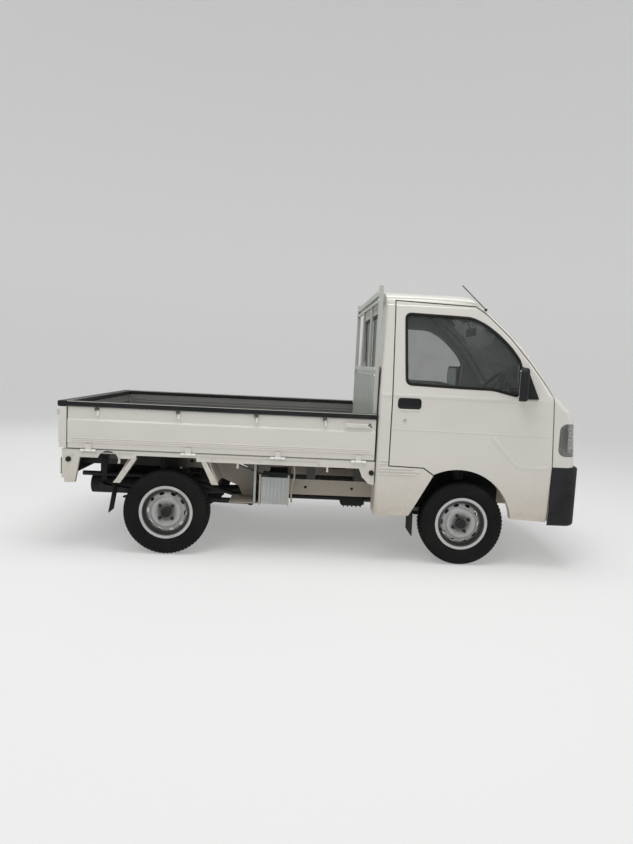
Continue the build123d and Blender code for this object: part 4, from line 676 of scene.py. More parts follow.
class TRUCK_OT_finishes(bpy.types.Operator):
    """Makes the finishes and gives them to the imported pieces"""
    bl_idname = "truck.finishes"
    bl_label = "Finishes"

    def execute(self, context):
        user = settings()
        dust = user.dust
        paint = tuple(user.paint_colour)
        painted("body_paint", paint, 0.85, dust)
        painted("bed_paint", paint, 0.9, dust, 0.12)
        # Near black inside the sills, below the deck and ahead of the rear panel: undercoat and painted shade
        # under the bed
        painted("bed_frame_paint", paint, 0.9, dust, 0.12,
                undercoat_and_shade=((1, 0.700, 0.696), (2, 0.650, 0.643), (0, -1.654, -1.649)))
        # The bed's inside: worn paint darkened as painted shade, and near black below the deck's top as
        # undercoat and painted shade
        painted("bed_inside", tuple(user.bed_colour), 1.3, dust * 0.8, 0.2, 0.5, 0.05,
                undercoat_and_shade=((2, 0.647, 0.642),))
        # The rails turn near black towards the rear: dirt and painted shade under the bed
        painted("frame_paint", tuple(user.frame_colour), 0.9, dust * 0.6, 0.15, 0.45, 0.1,
                undercoat_and_shade=((0, -0.78, -1.02),))
        # Near white, lighter than the body paint: a painted highlight on the hinge sleeves and gate pins, with
        # a little rust
        painted("hinge_highlight_paint", (0.84, 0.83, 0.80), 0.3, dust * 0.2, 0.1, 0.35, 0.3)
        painted("headboard_paint", tuple(user.headboard_colour), 0.8, dust, 0.15, 0.42, 0.15)
        painted("under_steel", (0.012, 0.012, 0.012), 0.7, dust * 0.12, 0.1, 0.7, 0.0)
        painted("undercoat", (0.008, 0.008, 0.008), 0.6, dust * 0.06, 0.0, 0.8, 0.0)
        moulded("black_plastic", tuple(user.trim_colour), 0.55, 0.18, 0.05, shine=0.15)
        moulded("interior_plastic", (0.10, 0.10, 0.105), 0.55, 0.3, 0.1)
        moulded("grey_plastic", (0.33, 0.35, 0.355), 0.45, 0.1, 0.3, 0.7)
        moulded("flap_rubber", (0.010, 0.010, 0.010), 0.7, 0.1, 0.1, 0.6, 0.15)
        moulded("seal_rubber", (0.008, 0.008, 0.008), 0.55, 0.08, 0.03, shine=0.2)
        moulded("cover_rubber", (0.009, 0.0095, 0.0105), 0.5, 0.1, 0.04, 1.2, 0.22)
        vinyl("seat_vinyl", (0.13, 0.135, 0.15))
        clear_glass("window_glass", (0.11, 0.125, 0.125), 0.78)
        clear_glass("lamp_glass", (0.72, 0.71, 0.69), 0.86, 0.06)
        bare_metal("mirror_glass", (0.40, 0.42, 0.43), 0.03, 0.0)
        lens("red_lens", (0.42, 0.012, 0.012))
        lens("amber_lens", (0.62, 0.20, 0.02))
        lens("white_lens", (0.66, 0.66, 0.65))
        tyre_rubber("tyre_rubber")
        wheel_steel("wheel_steel")
        bare_metal("cast_metal", (0.24, 0.24, 0.235), 0.55, 0.25)
        bare_metal("zinc", (0.72, 0.71, 0.69), 0.42, 0.3)
        bare_metal("dark_bolt", (0.05, 0.048, 0.046), 0.5, 0.3)
        bare_metal("rusty_bolt", (0.20, 0.18, 0.16), 0.6, 0.35)
        bare_metal("reflector", (0.90, 0.90, 0.89), 0.30, 0.0)
        for part in frame["record"]["subparts"]:
            name = part["node"]
            finish = NODE_FINISH.get(name, part["material_slot"])
            node = nodes[name]
            node.data.materials.clear()
            node.data.materials.append(finishes[finish])
            node.data.shade_smooth()
            node.data.set_sharp_from_angle(angle=radians(32))
        return {"FINISHED"}


# A tyre's half outline, from rim to tread. Columns of a point: distance from its middle plane, radius.
TYRE_WALL = ((0.0500, 0.153), (0.0510, 0.1705), (0.0560, 0.178), (0.0615, 0.187), (0.0650, 0.1885),
             (0.0662, 0.1925), (0.0705, 0.205), (0.0722, 0.2175), (0.0716, 0.230), (0.0725, 0.2325),
             (0.0716, 0.235), (0.0685, 0.247), (0.0650, 0.2545))
TYRE_SHOULDER = ((0.0610, 0.2610), (0.0555, 0.2668), (0.0470, 0.2703))
OUTER_RIB_Y = 0.0325
TREAD_FACE_RADIUS = 0.2700

# One block of the tread and the cut behind it. Columns: share of the pitch, whether it lies in the cut.
TREAD_PITCH = ((0.0, False), (0.70, False), (0.74, True), (0.96, True))

# What part of a tyre a point of its outline belongs to
WALL, SHOULDER, TREAD = range(3)


def wheel_spot(radius, angle, across):
    """A place by its distance and angle about a wheel's axis, and its place across the wheel."""
    return Vector((radius * cos(angle), across, radius * sin(angle)))


def tyre_mesh(work, centre, axis, blocks, depth):
    """A tyre with four grooves round it, cut shoulders and raised rings on its walls."""
    tread = [(0.0385, 0.2706), (0.0380, 0.2706 - depth), (0.0335, 0.2706 - depth), (0.0330, 0.2708),
             (0.0145, 0.2710), (0.0140, 0.2710 - depth), (0.0095, 0.2710 - depth), (0.0090, 0.2710)]
    parts = ((WALL, TYRE_WALL), (SHOULDER, TYRE_SHOULDER), (TREAD, tread))
    right = [(y, r, kind) for kind, points in parts for y, r in points]
    profile = right + [(-y, r, kind) for y, r, kind in reversed(right)]
    spin = Vector((0, 1, 0)).rotation_difference(Vector(axis)).to_matrix().to_4x4()
    place = Matrix.Translation(centre) @ spin
    pitch = 2 * pi / blocks
    rings = []
    for block in range(blocks):
        for share, cut in TREAD_PITCH:
            ring = []
            for along, radius, kind in profile:
                slope = 0.5 * pitch * (abs(along) - 0.02) / 0.05 if kind else 0.0
                half_turn = 0.5 * pitch if along < 0 else 0.0
                angle = pitch * (block + share) + slope + half_turn
                outer = abs(along) > OUTER_RIB_Y
                if cut and (kind == SHOULDER or (kind == TREAD and outer)):
                    radius -= depth * 0.8
                elif cut and kind == TREAD and radius > TREAD_FACE_RADIUS:
                    radius -= depth * 0.35
                ring.append(work.verts.new(place @ wheel_spot(radius, angle, along)))
            rings.append(ring)
    join_rings(work, rings, True)


class TRUCK_OT_wheels(bpy.types.Operator):
    """Makes the treaded tyres, the wheel nuts, caps and valves, and the spare wheel"""
    bl_idname = "truck.wheels"
    bl_label = "Wheels"

    def execute(self, context):
        user = settings()
        for name, axle_x, sign, nut_turn, valve_turn in WHEELS:
            body = f"wheel_{name}"
            centre = Vector((axle_x, sign * WHEEL_Y, AXLE_Z))
            outward = (0, sign, 0)
            work = bmesh.new()
            tyre_mesh(work, centre, (0, 1, 0), user.tread_blocks, user.tread_depth)
            tyre = new_piece(f"tread_{name}", work, "tyre_rubber", body, 28)
            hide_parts(f"tyre_{name}")
            work = bmesh.new()
            for k in range(4):
                spot = centre + wheel_spot(0.055, radians(nut_turn + 90 * k), sign * 0.040)
                add_lathe(work, WHEEL_NUT, spot, outward, 6)
            new_piece(f"wheel_nuts_{name}", work, "dark_bolt", body, 25)
            work = bmesh.new()
            add_lathe(work, HUB_CAP, centre, outward, 40)
            new_piece(f"hub_cap_{name}", work, "black_plastic", body)
            work = bmesh.new()
            foot = centre + wheel_spot(0.139, radians(valve_turn), sign * 0.014)
            tip = foot + wheel_spot(-0.010, radians(valve_turn), sign * 0.032)
            add_tube(work, [foot, foot.lerp(tip, 0.5), tip], [0.0055, 0.0045, 0.0038], 10)
            new_piece(f"valve_{name}", work, "seal_rubber", body)
        low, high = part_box("spare_wheel")
        centre = (low + high) / 2
        centre.z = high.z - 0.0725
        work = bmesh.new()
        tyre_mesh(work, centre, (0, 0, 1), user.tread_blocks, user.tread_depth)
        spare = new_piece("spare_tyre", work, "tyre_rubber", "chassis", 28)
        work = bmesh.new()
        work.from_mesh(nodes["rim_rear_left"].data)
        lie_flat = Matrix.Rotation(radians(-90), 4, "X")
        from_axle = Matrix.Translation((-REAR_AXLE_X, -WHEEL_Y, -AXLE_Z))
        bmesh.ops.transform(work, verts=work.verts, matrix=Matrix.Translation(centre) @ lie_flat @ from_axle)
        new_piece("spare_rim", work, "wheel_steel")
        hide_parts("spare_wheel")
        return {"FINISHED"}


def add_section(work, section, start, end, flat):
    """Draws a closed section straight from one place to another. The flat turns its points into offsets."""
    join_rings(work, [[work.verts.new(Vector(place) + flat(*point)) for point in section]
                      for place in (start, end)])


# A short sleeve over one part of a hinge: its radius, and its radius at the ends
BARREL_RADIUS = 0.0078
BARREL_END_RADIUS = 0.0066


def add_barrel(work, centre, half):
    """A sleeve along the truck, as long as twice its half."""
    add_lathe(work, [(-half, 0.0), (-half, BARREL_END_RADIUS), (0.001 - half, BARREL_RADIUS),
                     (half - 0.001, BARREL_RADIUS), (half, BARREL_END_RADIUS), (half, 0.0)],
              centre, (1, 0, 0), 20)


# The gates, in metres. Each side gate's cover and hinge line have places across the truck, and the tailgate's
# cover along it. The heights hold for all three gates.
COVER_Y = (0.6925, 0.7335)
TAIL_COVER_X = (-1.6815, -1.6215)
COVER_Z = (0.922, 0.9585)
HINGE_Y = 0.731
HINGE_Z = 0.653
# A dark grey lining over each gate's inner face, with ribs across it, paints the shade inside the bed over the
# worn paint
SHADED_LINING_Y = 0.698
SHADED_LINING_Z = (0.667, 0.921)
SHADED_LINING_RIBS = (0.700, 0.735, 0.770, 0.805, 0.840, 0.875)
RIB_HALF = 0.009
PRESSED_LINES = (0.7065, 0.7175, 0.729)

# The latch lever of a side gate in side view, and how it narrows outwards. Columns: distance out, share.
LEVER_CORNERS = ((0.103, 0.890), (0.113, 0.869), (0.215, 0.870), (0.243, 0.878), (0.246, 0.889),
                 (0.215, 0.897), (0.113, 0.898))
LEVER_MIDDLE = (0.175, 0.884)
LEVER_Y = 0.729
LEVER_STEPS = ((0.0, 1.0), (0.0045, 1.0), (0.007, 0.9))
LATCH_BOLTS = ((0.255, 0.886), (0.268, 0.878), (0.262, 0.892), (0.232, 0.884))


class TRUCK_OT_gates(bpy.types.Operator):
    """Makes the edge covers, the pressed lines, the latches and the hinge sleeves of the three gates"""
    bl_idname = "truck.gates"
    bl_label = "Gates"

    def execute(self, context):
        for side, sign in SIDES:
            self.side_gate(side, sign, (0, sign, 0), settings().cover_roundness)
        self.tailgate(settings().cover_roundness)
        return {"FINISHED"}

    def side_gate(self, side, sign, outward, radius):
        """One side gate with its cover of the given edge radius."""
        node = f"side_gate_{side}"
        body = f"{node}_body"
        low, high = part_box(node)
        section = rectangle(COVER_Y[0], COVER_Z[0], COVER_Y[1], COVER_Z[1], radius)
        work = bmesh.new()
        add_section(work, section, (low.x - 0.001, 0, 0), (high.x + 0.001, 0, 0),
                    lambda y, z: Vector((0, sign * y, z)))
        new_piece(f"edge_cover_{side}", work, "cover_rubber", body)
        skin = surface_of(node)
        work = bmesh.new()
        for height in PRESSED_LINES:
            line = straight((low.x + 0.03, height), (high.x - 0.03, height), 24)
            add_bead(work, on_side(skin, line, sign), 0.008, 0.0034)
        for edge_x in (low.x + 0.006, high.x - 0.006):
            line = straight((edge_x, 0.70), (edge_x, 0.915), 14)
            add_bead(work, on_side(skin, line, sign), 0.008, 0.0015)
        new_piece(f"pressed_lines_{side}", work, "bed_paint", body)
        work = bmesh.new()
        lever = round_corners(LEVER_CORNERS, 0.008)
        middle_x, middle_z = LEVER_MIDDLE
        rings = []
        for out, share in LEVER_STEPS:
            rings.append([work.verts.new((middle_x + (x - middle_x) * share, sign * (LEVER_Y + out),
                                          middle_z + (z - middle_z) * share)) for x, z in lever])
        join_rings(work, rings)
        new_piece(f"latch_lever_{side}", work, "bed_paint", body)
        work = bmesh.new()
        for bolt_x, bolt_z in LATCH_BOLTS:
            add_lathe(work, LATCH_BOLT, (bolt_x, sign * 0.7295, bolt_z), outward, 12)
        new_piece(f"latch_bolts_{side}", work, "dark_bolt", body)
        lugs = bmesh.new()
        tabs = bmesh.new()
        for hinge_x in SIDE_HINGES:
            for lug_x in (hinge_x - 0.0335, hinge_x + 0.0335):
                add_barrel(lugs, Vector((lug_x, sign * HINGE_Y, HINGE_Z)), 0.0135)
            add_barrel(tabs, Vector((hinge_x, sign * HINGE_Y, HINGE_Z)), 0.0180)
        new_piece(f"hinge_lugs_{side}", lugs, "hinge_highlight_paint")
        new_piece(f"hinge_tabs_{side}", tabs, "hinge_highlight_paint", body)
        pins = bmesh.new()
        heads = bmesh.new()
        for pin_x in GATE_PINS:
            add_block(pins, (pin_x - 0.002, sign * 0.722, 0.874),
                      (pin_x + 0.009, sign * 0.7345, 0.909), 0.002)
            add_block(heads, (pin_x - 0.013, sign * 0.722, 0.905),
                      (pin_x + 0.007, sign * 0.7350, 0.919), 0.003)
        new_piece(f"gate_pins_{side}", pins, "hinge_highlight_paint", body)
        new_piece(f"gate_pin_heads_{side}", heads, "rusty_bolt", body)
        # The gate's dark grey lining and ribs: worn paint darkened as painted shade
        work = bmesh.new()
        add_block(work, (low.x + 0.002, sign * (SHADED_LINING_Y + 0.002), SHADED_LINING_Z[0]),
                  (high.x - 0.002, sign * (SHADED_LINING_Y - 0.0008), SHADED_LINING_Z[1]))
        for rib_z in SHADED_LINING_RIBS:
            add_block(work, (low.x + 0.04, sign * SHADED_LINING_Y, rib_z - RIB_HALF),
                      (high.x - 0.04, sign * (SHADED_LINING_Y - 0.0040), rib_z + RIB_HALF), 0.003)
        new_piece(f"shaded_gate_lining_{side}", work, "bed_inside", body)

    def tailgate(self, radius):
        """The tailgate with its cover of the given edge radius."""
        body = "tailgate_body"
        low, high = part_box("tailgate")
        section = rectangle(TAIL_COVER_X[0], COVER_Z[0], TAIL_COVER_X[1], COVER_Z[1], radius)
        work = bmesh.new()
        add_section(work, section, (0, low.y - 0.001, 0), (0, high.y + 0.001, 0),
                    lambda x, z: Vector((x, 0, z)))
        new_piece("edge_cover_tail", work, "cover_rubber", body)
        skin = surface_of("tailgate")
        work = bmesh.new()
        for height in PRESSED_LINES:
            points = [(0, 0.05 * k - 0.70, height) for k in range(29)]
            add_bead(work, laid(skin, points, (-2.2, None, None), (1, 0, 0)), 0.008, 0.0034)
        new_piece("pressed_lines_tail", work, "bed_paint", body)
        # The tailgate's dark grey lining and ribs: worn paint darkened as painted shade
        work = bmesh.new()
        add_block(work, (-1.6290, low.y + 0.002, SHADED_LINING_Z[0]), (-1.6267, high.y - 0.002, SHADED_LINING_Z[1]))
        for rib_z in SHADED_LINING_RIBS:
            add_block(work, (-1.6285, low.y + 0.04, rib_z - RIB_HALF),
                      (-1.6235, high.y - 0.04, rib_z + RIB_HALF), 0.002)
        new_piece("shaded_gate_lining_tail", work, "bed_inside", body)
        work = bmesh.new()
        for sign in SIGNS:
            add_block(work, (-1.6835, sign * 0.655, 0.872), (-1.6665, sign * 0.700, 0.893), 0.004)
        new_piece("tail_latches", work, "bed_paint", body)


# How far a mirror is turned toward the driver, in degrees, and its middle's height
MIRROR_TURN = 20
MIRROR_Z = 1.191

# The door window's corners in side view, in metres. Columns: place along the truck, height.
WINDOW_CORNERS = [(0.4675, 1.598), (0.4845, 1.161), (1.0285, 1.152), (1.1955, 1.113), (1.2015, 1.323),
                  (1.135, 1.412), (1.0575, 1.485), (0.975, 1.545), (0.8825, 1.586)]


WINDOW_MIDDLE = (0.83, 1.37)

# A door's straight creases in side view, and its bent one. Columns: start, end, steps, width, height.
WAIST_CREASE = ((0.408, 0.872), (1.425, 0.865), 30, 0.012, 0.0022)
LOW_CREASE = ((1.045, 0.848, 0), (1.115, 0.775, 0), (1.205, 0.683, 0), (1.245, 0.661, 0), (1.425, 0.664, 0))
BELT_CREASE = ((0.408, 1.084), (1.34, 1.084), 30, 0.026, 0.0035)
HANDLE_LEDGE = ((0.440, 0.995), (0.568, 0.995), 8, 0.014, 0.0045)

# The handle: its rows of beads, from its foot up. The first three lie deep, as the hollow for the fingers.
HANDLE_FOOT_Z = 1.0125
HANDLE_RISE = 0.048
HANDLE_ROWS = 7
HOLLOW_ROWS = 3

# The inner panel of a door, in side view, and its place across the truck
CARD_CORNERS = ((0.43, 0.68), (0.43, 1.10), (1.02, 1.10), (1.19, 1.06), (1.19, 0.72), (1.12, 0.68))
CARD_Y = 0.6895


def add_crease(work, skin, sign, start, end, steps, width, height):
    """A straight bead on one side of the truck, from one side-view place to another."""
    add_bead(work, on_side(skin, straight(start, end, steps), sign), width, height)


class TRUCK_OT_doors(bpy.types.Operator):
    """Makes the window seals, handles, locks, creases, mirror glass and inner panels of the doors"""
    bl_idname = "truck.doors"
    bl_label = "Doors"

    def execute(self, context):
        for side, sign in SIDES:
            body = f"door_{side}_body"
            skin = surface_of(f"door_{side}")
            middle = Vector(WINDOW_MIDDLE)
            line = []
            for x, z in dense(round_corners(WINDOW_CORNERS, 0.035), 0.02):
                away = (Vector((x, z)) - middle).normalized() * 0.005
                line.append((x + away.x, z + away.y))
            work = bmesh.new()
            add_bead(work, on_side(skin, line, sign), 0.019, 0.004, True)
            new_piece(f"window_seal_{side}", work, "seal_rubber", body)
            work = bmesh.new()
            add_crease(work, skin, sign, *WAIST_CREASE)
            low_crease = [(p.x, p.y) for p in smooth_path(LOW_CREASE)]
            add_bead(work, on_side(skin, low_crease, sign), 0.030, 0.0040)
            add_crease(work, skin, sign, *BELT_CREASE)
            add_crease(work, skin, sign, *HANDLE_LEDGE)
            new_piece(f"door_creases_{side}", work, "body_paint", body)
            work = bmesh.new()
            rim_line = dense(rectangle(0.433, 1.007, 0.573, 1.066, 0.018), 0.01)
            add_bead(work, on_side(skin, rim_line, sign), 0.010, 0.004, True)
            for row in range(HANDLE_ROWS):
                height = HANDLE_FOOT_Z + HANDLE_RISE * row / (HANDLE_ROWS - 1)
                lift = 0.0012 if row < HOLLOW_ROWS else 0.005
                add_crease(work, skin, sign, (0.438, height), (0.568, height), 8, 0.0095, lift)
            new_piece(f"door_handle_{side}", work, "black_plastic", body)
            work = bmesh.new()
            spot, normal = on_side(skin, [(0.478, 0.932)], sign)[0]
            add_lathe(work, DOOR_LOCK, spot, normal, 28)
            new_piece(f"door_lock_{side}", work, "zinc", body)
            work = bmesh.new()
            slot_middle = spot + Vector((0, sign * 0.0035, 0))
            slot_half = Vector((0.0012, 0.001, 0.006))
            add_block(work, slot_middle - slot_half, slot_middle + slot_half)
            new_piece(f"key_slot_{side}", work, "seal_rubber", body)
            work = bmesh.new()
            head = Vector((NOSE_X - 0.512, sign * (HALF_WIDTH + 0.095), MIRROR_Z))
            turn = Matrix.Rotation(radians(sign * MIRROR_TURN), 3, "Z")
            ends = [head + turn @ Vector((x, 0, 0)) for x in (-0.0285, -0.0255)]
            add_section(work, rectangle(-0.062, -0.089, 0.062, 0.089, 0.026), *ends,
                        lambda y, z: turn @ Vector((0, y, z)))
            new_piece(f"mirror_glass_{side}", work, "mirror_glass", body)
            work = bmesh.new()
            add_section(work, round_corners(CARD_CORNERS, 0.03), (0, sign * (CARD_Y + 0.002), 0),
                        (0, sign * (CARD_Y - 0.006), 0), lambda x, z: Vector((x, 0, z)))
            add_block(work, (0.62, sign * CARD_Y, 0.90), (0.95, sign * (CARD_Y - 0.045), 0.935), 0.012, 3)
            new_piece(f"door_card_{side}", work, "interior_plastic", body)
        return {"FINISHED"}


# Louvres pressed into the cab's corners behind the doors. Columns: height, front end along the truck.
LOUVRES = ((0.584, 0.57), (0.603, 0.60), (0.621, 0.55), (0.648, 0.385), (0.670, 0.385))

# The roof gutter, which runs down along the windscreen pillar, in side view
GUTTER = ((0.335, 1.698, 0), (0.62, 1.702, 0), (0.90, 1.688, 0), (1.0, 1.640, 0), (1.14, 1.517, 0),
          (1.275, 1.358, 0), (1.415, 1.165, 0))

# The windscreen's and the rear window's corners. Columns: place across, height.
WINDSCREEN_CORNERS = ((-0.6515, 1.150), (-0.5695, 1.652), (0.5695, 1.652), (0.6515, 1.150))
WINDSCREEN_MIDDLE_Z = 1.4
REAR_WINDOW_CORNERS = ((-0.506, 1.249), (-0.506, 1.611), (0.506, 1.611), (0.506, 1.249))

# The front: grille slots, wipers from foot to tip, bumper grooves and bumper bolts
GRILLE_SLOTS = (0.925, 0.895, 0.865, 0.835)
WIPERS = ((-0.34, 0.10), (0.14, 0.56))
BUMPER_GROOVES = (0.305, 0.330, 0.355)
BUMPER_BOLTS = (0.640, 0.330)


class TRUCK_OT_cab(bpy.types.Operator):
    """Makes the seals, gutters, louvres, grille, wipers and the front's small parts on the cab"""
    bl_idname = "truck.cab"
    bl_label = "Cab"

    def execute(self, context):
        for side, sign in SIDES:
            flank = surface_of(f"cab_side_{side}", "cab_roof", "cab_front_panel")
            work = bmesh.new()
            for height, front_x in LOUVRES:
                add_crease(work, flank, sign, (0.335, height), (front_x, height), 10, 0.011, 0.006)
            add_crease(work, flank, sign, (0.325, 1.084), (0.388, 1.084), 4, 0.026, 0.0035)
            gutter = [(p.x, p.y) for p in smooth_path(GUTTER)]
            add_bead(work, on_side(flank, gutter, sign), 0.010, 0.004)
            new_piece(f"cab_pressings_{side}", work, "body_paint")
        front = surface_of("cab_front_panel", "cab_roof")
        front_and_glass = surface_of("cab_front_panel", "cab_roof", "windscreen")
        work = bmesh.new()
        glass_line = dense(round_corners(WINDSCREEN_CORNERS, 0.05), 0.03)
        edge_line = [(y * 1.012, z + (0.006 if z > WINDSCREEN_MIDDLE_Z else -0.006)) for y, z in glass_line]
        add_bead(work, on_front(front, edge_line), 0.028, 0.004, True)
        rear_line = [(0, y, z) for y, z in dense(round_corners(REAR_WINDOW_CORNERS, 0.055), 0.03)]
        back = surface_of("cab_back_panel")
        add_bead(work, laid(back, rear_line, (-0.3, None, None), (1, 0, 0)), 0.022, 0.005, True)
        new_piece("glass_seals", work, "seal_rubber")
        work = bmesh.new()
        for height in GRILLE_SLOTS:
            line = straight((-0.36, height), (0.36, height), 30)
            add_bead(work, on_front(front, line), 0.015, 0.0022, sink=0.002)
        cowl = straight((-0.60, 1.115), (0.60, 1.115), 40)
        add_bead(work, on_front(front, cowl), 0.042, 0.006, sink=0.004)
        new_piece("grille_slots", work, "black_plastic")
        work = bmesh.new()
        for foot_y, tip_y in WIPERS:
            arm_end = (foot_y * 0.4 + tip_y * 0.6, 1.168)
            arm = on_front(front_and_glass, straight((foot_y, 1.118), arm_end, 8))
            add_tube(work, [p + n * 0.020 for p, n in arm], [0.0055] * 5 + [0.004] * 4)
            add_lathe(work, WIPER_PIVOT, *arm[0], 20)
            blade = on_front(front_and_glass, straight((foot_y + 0.02, 1.166), (tip_y, 1.180), 14))
            add_tube(work, [p + n * 0.012 for p, n in blade], 0.0045)
        new_piece("wipers", work, "black_plastic")
        work = bmesh.new()
        bumper = surface_of("front_bumper")
        for sign in SIGNS:
            add_lathe(work, BUMPER_PLUG, *on_front(bumper, [(sign * 0.52, 0.46)])[0], 40)
        add_bead(work, on_front(bumper, straight((-0.62, 0.592), (0.62, 0.592), 40)), 0.010, 0.003)
        for height in BUMPER_GROOVES:
            add_block(work, (1.625, -0.415, height - 0.004), (1.640, 0.415, height + 0.004), 0.002)
        new_piece("bumper_trim", work, "black_plastic")
        work = bmesh.new()
        for bolt_z in BUMPER_BOLTS:
            for sign in SIGNS:
                add_lathe(work, BUMPER_BOLT, (1.475, sign * (HALF_WIDTH + 0.005), bolt_z), (0, sign, 0), 14)
        new_piece("bumper_bolts", work, "dark_bolt")
        return {"FINISHED"}


# The headlamps' bowls. Columns: place across, height, radius.
LAMP_BOWLS = ((0.585, 0.893, 0.046), (0.585, 0.800, 0.044))

# The tail lamps' segments. Columns: name, finish, inner and outer share of the lamp's width.
TAIL_SEGMENTS = (
    ("tail_red", "red_lens", 0.02, 0.48),
    ("tail_amber", "amber_lens", 0.50, 0.76),
    ("tail_white", "white_lens", 0.78, 0.98),
)
TAIL_INNER_Y = 0.5475
TAIL_WIDTH = 0.148


class TRUCK_OT_lamps(bpy.types.Operator):
    """Makes the headlamps' bowls and clear covers, and the tail lamps' segments"""
    bl_idname = "truck.lamps"
    bl_label = "Lamps"

    def execute(self, context):
        work = bmesh.new()
        work.from_mesh(nodes["headlamps"].data)
        cover = new_piece("lamp_covers", work, "lamp_glass")
        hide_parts("headlamps")
        lamp_skin = surface_of("headlamps")
        housing = bmesh.new()
        bowls = bmesh.new()
        bulbs = bmesh.new()
        turn_lamps = bmesh.new()
        for sign in SIGNS:
            for bowl_y, bowl_z, radius in LAMP_BOWLS:
                spot, _ = on_front(lamp_skin, [(sign * bowl_y, bowl_z)])[0]
                facing = Vector((1, sign * 0.12, 0)).normalized()
                centre = spot - Vector((0.024, 0, 0))
                bowl = ((0.008, radius + 0.004), (0.010, radius + 0.001), (0.008, radius),
                        (-0.002, radius * 0.78), (-0.008, radius * 0.5), (-0.011, 0.010), (-0.011, 0.0))
                add_lathe(bowls, bowl, centre, facing, 36)
                add_lathe(bulbs, BULB, centre, facing, 16)
            rows = []
            for row in range(9):
                height = 0.774 + (0.926 - 0.774) * row / 8
                line = on_front(lamp_skin, straight((sign * 0.475, height), (sign * 0.715, height), 14))
                rows.append([housing.verts.new(p - Vector((0.030, sign * 0.008, 0))) for p, _ in line])
            for first, second in zip(rows, rows[1:]):
                for k in range(min(len(first), len(second)) - 1):
                    housing.faces.new((first[k], first[k + 1], second[k + 1], second[k]))
            for row in range(5):
                height = 0.800 + 0.024 * row
                line = on_side(lamp_skin, straight((1.535, height), (1.600, height), 6), sign)
                add_bead(turn_lamps, [(p - n * 0.008, n) for p, n in line], 0.022, 0.003)
        new_piece("lamp_housings", housing, "reflector")
        new_piece("lamp_bowls", bowls, "reflector")
        new_piece("lamp_bulbs", bulbs, "white_lens")
        new_piece("turn_lamps", turn_lamps, "white_lens")
        rear_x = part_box("tail_lamps")[0].x
        work = bmesh.new()
        for sign in SIGNS:
            add_block(work, (rear_x + 0.004, sign * 0.5465, 0.499), (rear_x + 0.0145, sign * 0.6965, 0.592),
                      0.006, 3)
        housing_piece = new_piece("tail_housings", work, "black_plastic")
        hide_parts("tail_lamps")
        for name, finish, inner, outer in TAIL_SEGMENTS:
            work = bmesh.new()
            for sign in SIGNS:
                inner_y, outer_y = (TAIL_INNER_Y + TAIL_WIDTH * share for share in (inner, outer))
                add_block(work, (rear_x, sign * inner_y, 0.504), (rear_x + 0.008, sign * outer_y, 0.587),
                          0.0035, 3)
            new_piece(name, work, finish, slot="red_lens")
        return {"FINISHED"}


# The seats' padded forms. Columns: name, place along the truck, height, half sizes, crown, channels, lean.
SEAT_PADS = (
    ("cushion", 0.699, 0.742, (0.250, 0.230, 0.050), 0.012, 4, 0),
    ("backrest", 0.470, 1.040, (0.262, 0.230, 0.046), 0.010, 4, 83),
    ("head_restraint", 0.425, 1.385, (0.082, 0.112, 0.034), 0.006, 1, 87),
)


# How finely a pad is drawn, and how far its corners and its foot draw in
PAD_STEPS = 18
PAD_CORNER = 0.10
PAD_FOOT = 0.97


def padded_form(work, centre, half, crown, channels, lean):
    """A stuffed form: full in the middle, drawn in at its edges, with sewn channels across it."""
    made = bmesh.ops.create_grid(work, x_segments=PAD_STEPS, y_segments=PAD_STEPS, size=1.0)["verts"]
    for vert in made:
        u, v = vert.co.x, vert.co.y
        round_u = u * (1 - PAD_CORNER * abs(v) ** 6)
        round_v = v * (1 - PAD_CORNER * abs(u) ** 6)
        fall = (1 - abs(u) ** 5) * (1 - abs(v) ** 5)
        groove = 0.006 * max(0.0, cos(channels * pi * v)) ** 14 if abs(u) < 0.72 else 0.0
        rise = half[2] * fall ** 0.35 + crown * fall - groove
        vert.co = Vector((round_u * half[0], round_v * half[1], rise))
    edge = [e for e in work.edges if e.is_boundary]
    low = bmesh.ops.extrude_edge_only(work, edges=edge)["geom"]
    low_verts = [g for g in low if isinstance(g, bmesh.types.BMVert)]
    for vert in low_verts:
        vert.co.z -= half[2]
        vert.co.x *= PAD_FOOT
        vert.co.y *= PAD_FOOT
    bmesh.ops.contextual_create(work, geom=[g for g in low if isinstance(g, bmesh.types.BMEdge)])
    turned = list(made) + low_verts
    bmesh.ops.rotate(work, verts=turned, cent=(0, 0, 0), matrix=Matrix.Rotation(lean, 3, "Y"))
    bmesh.ops.translate(work, verts=turned, vec=centre)


# The gear lever's foot, middle and knob, and the handbrake. Places are in metres.
GEAR_LEVER = ((0.98, -0.03, 0.69), (1.0, -0.03, 0.80), (0.99, -0.03, 0.93))
HANDBRAKE = ((0.72, 0.02, 0.735), (0.84, 0.02, 0.775), (0.90, 0.02, 0.785))
DIAL_HOOD = ((1.243, -0.47), (1.243, -0.19), (1.45, -0.19), (1.45, -0.47))
VENTS_Y = (-0.58, -0.06, 0.06, 0.58)
PEDALS_Y = (-0.42, -0.33, -0.24)
DIALS_Y = (-0.375, -0.285)


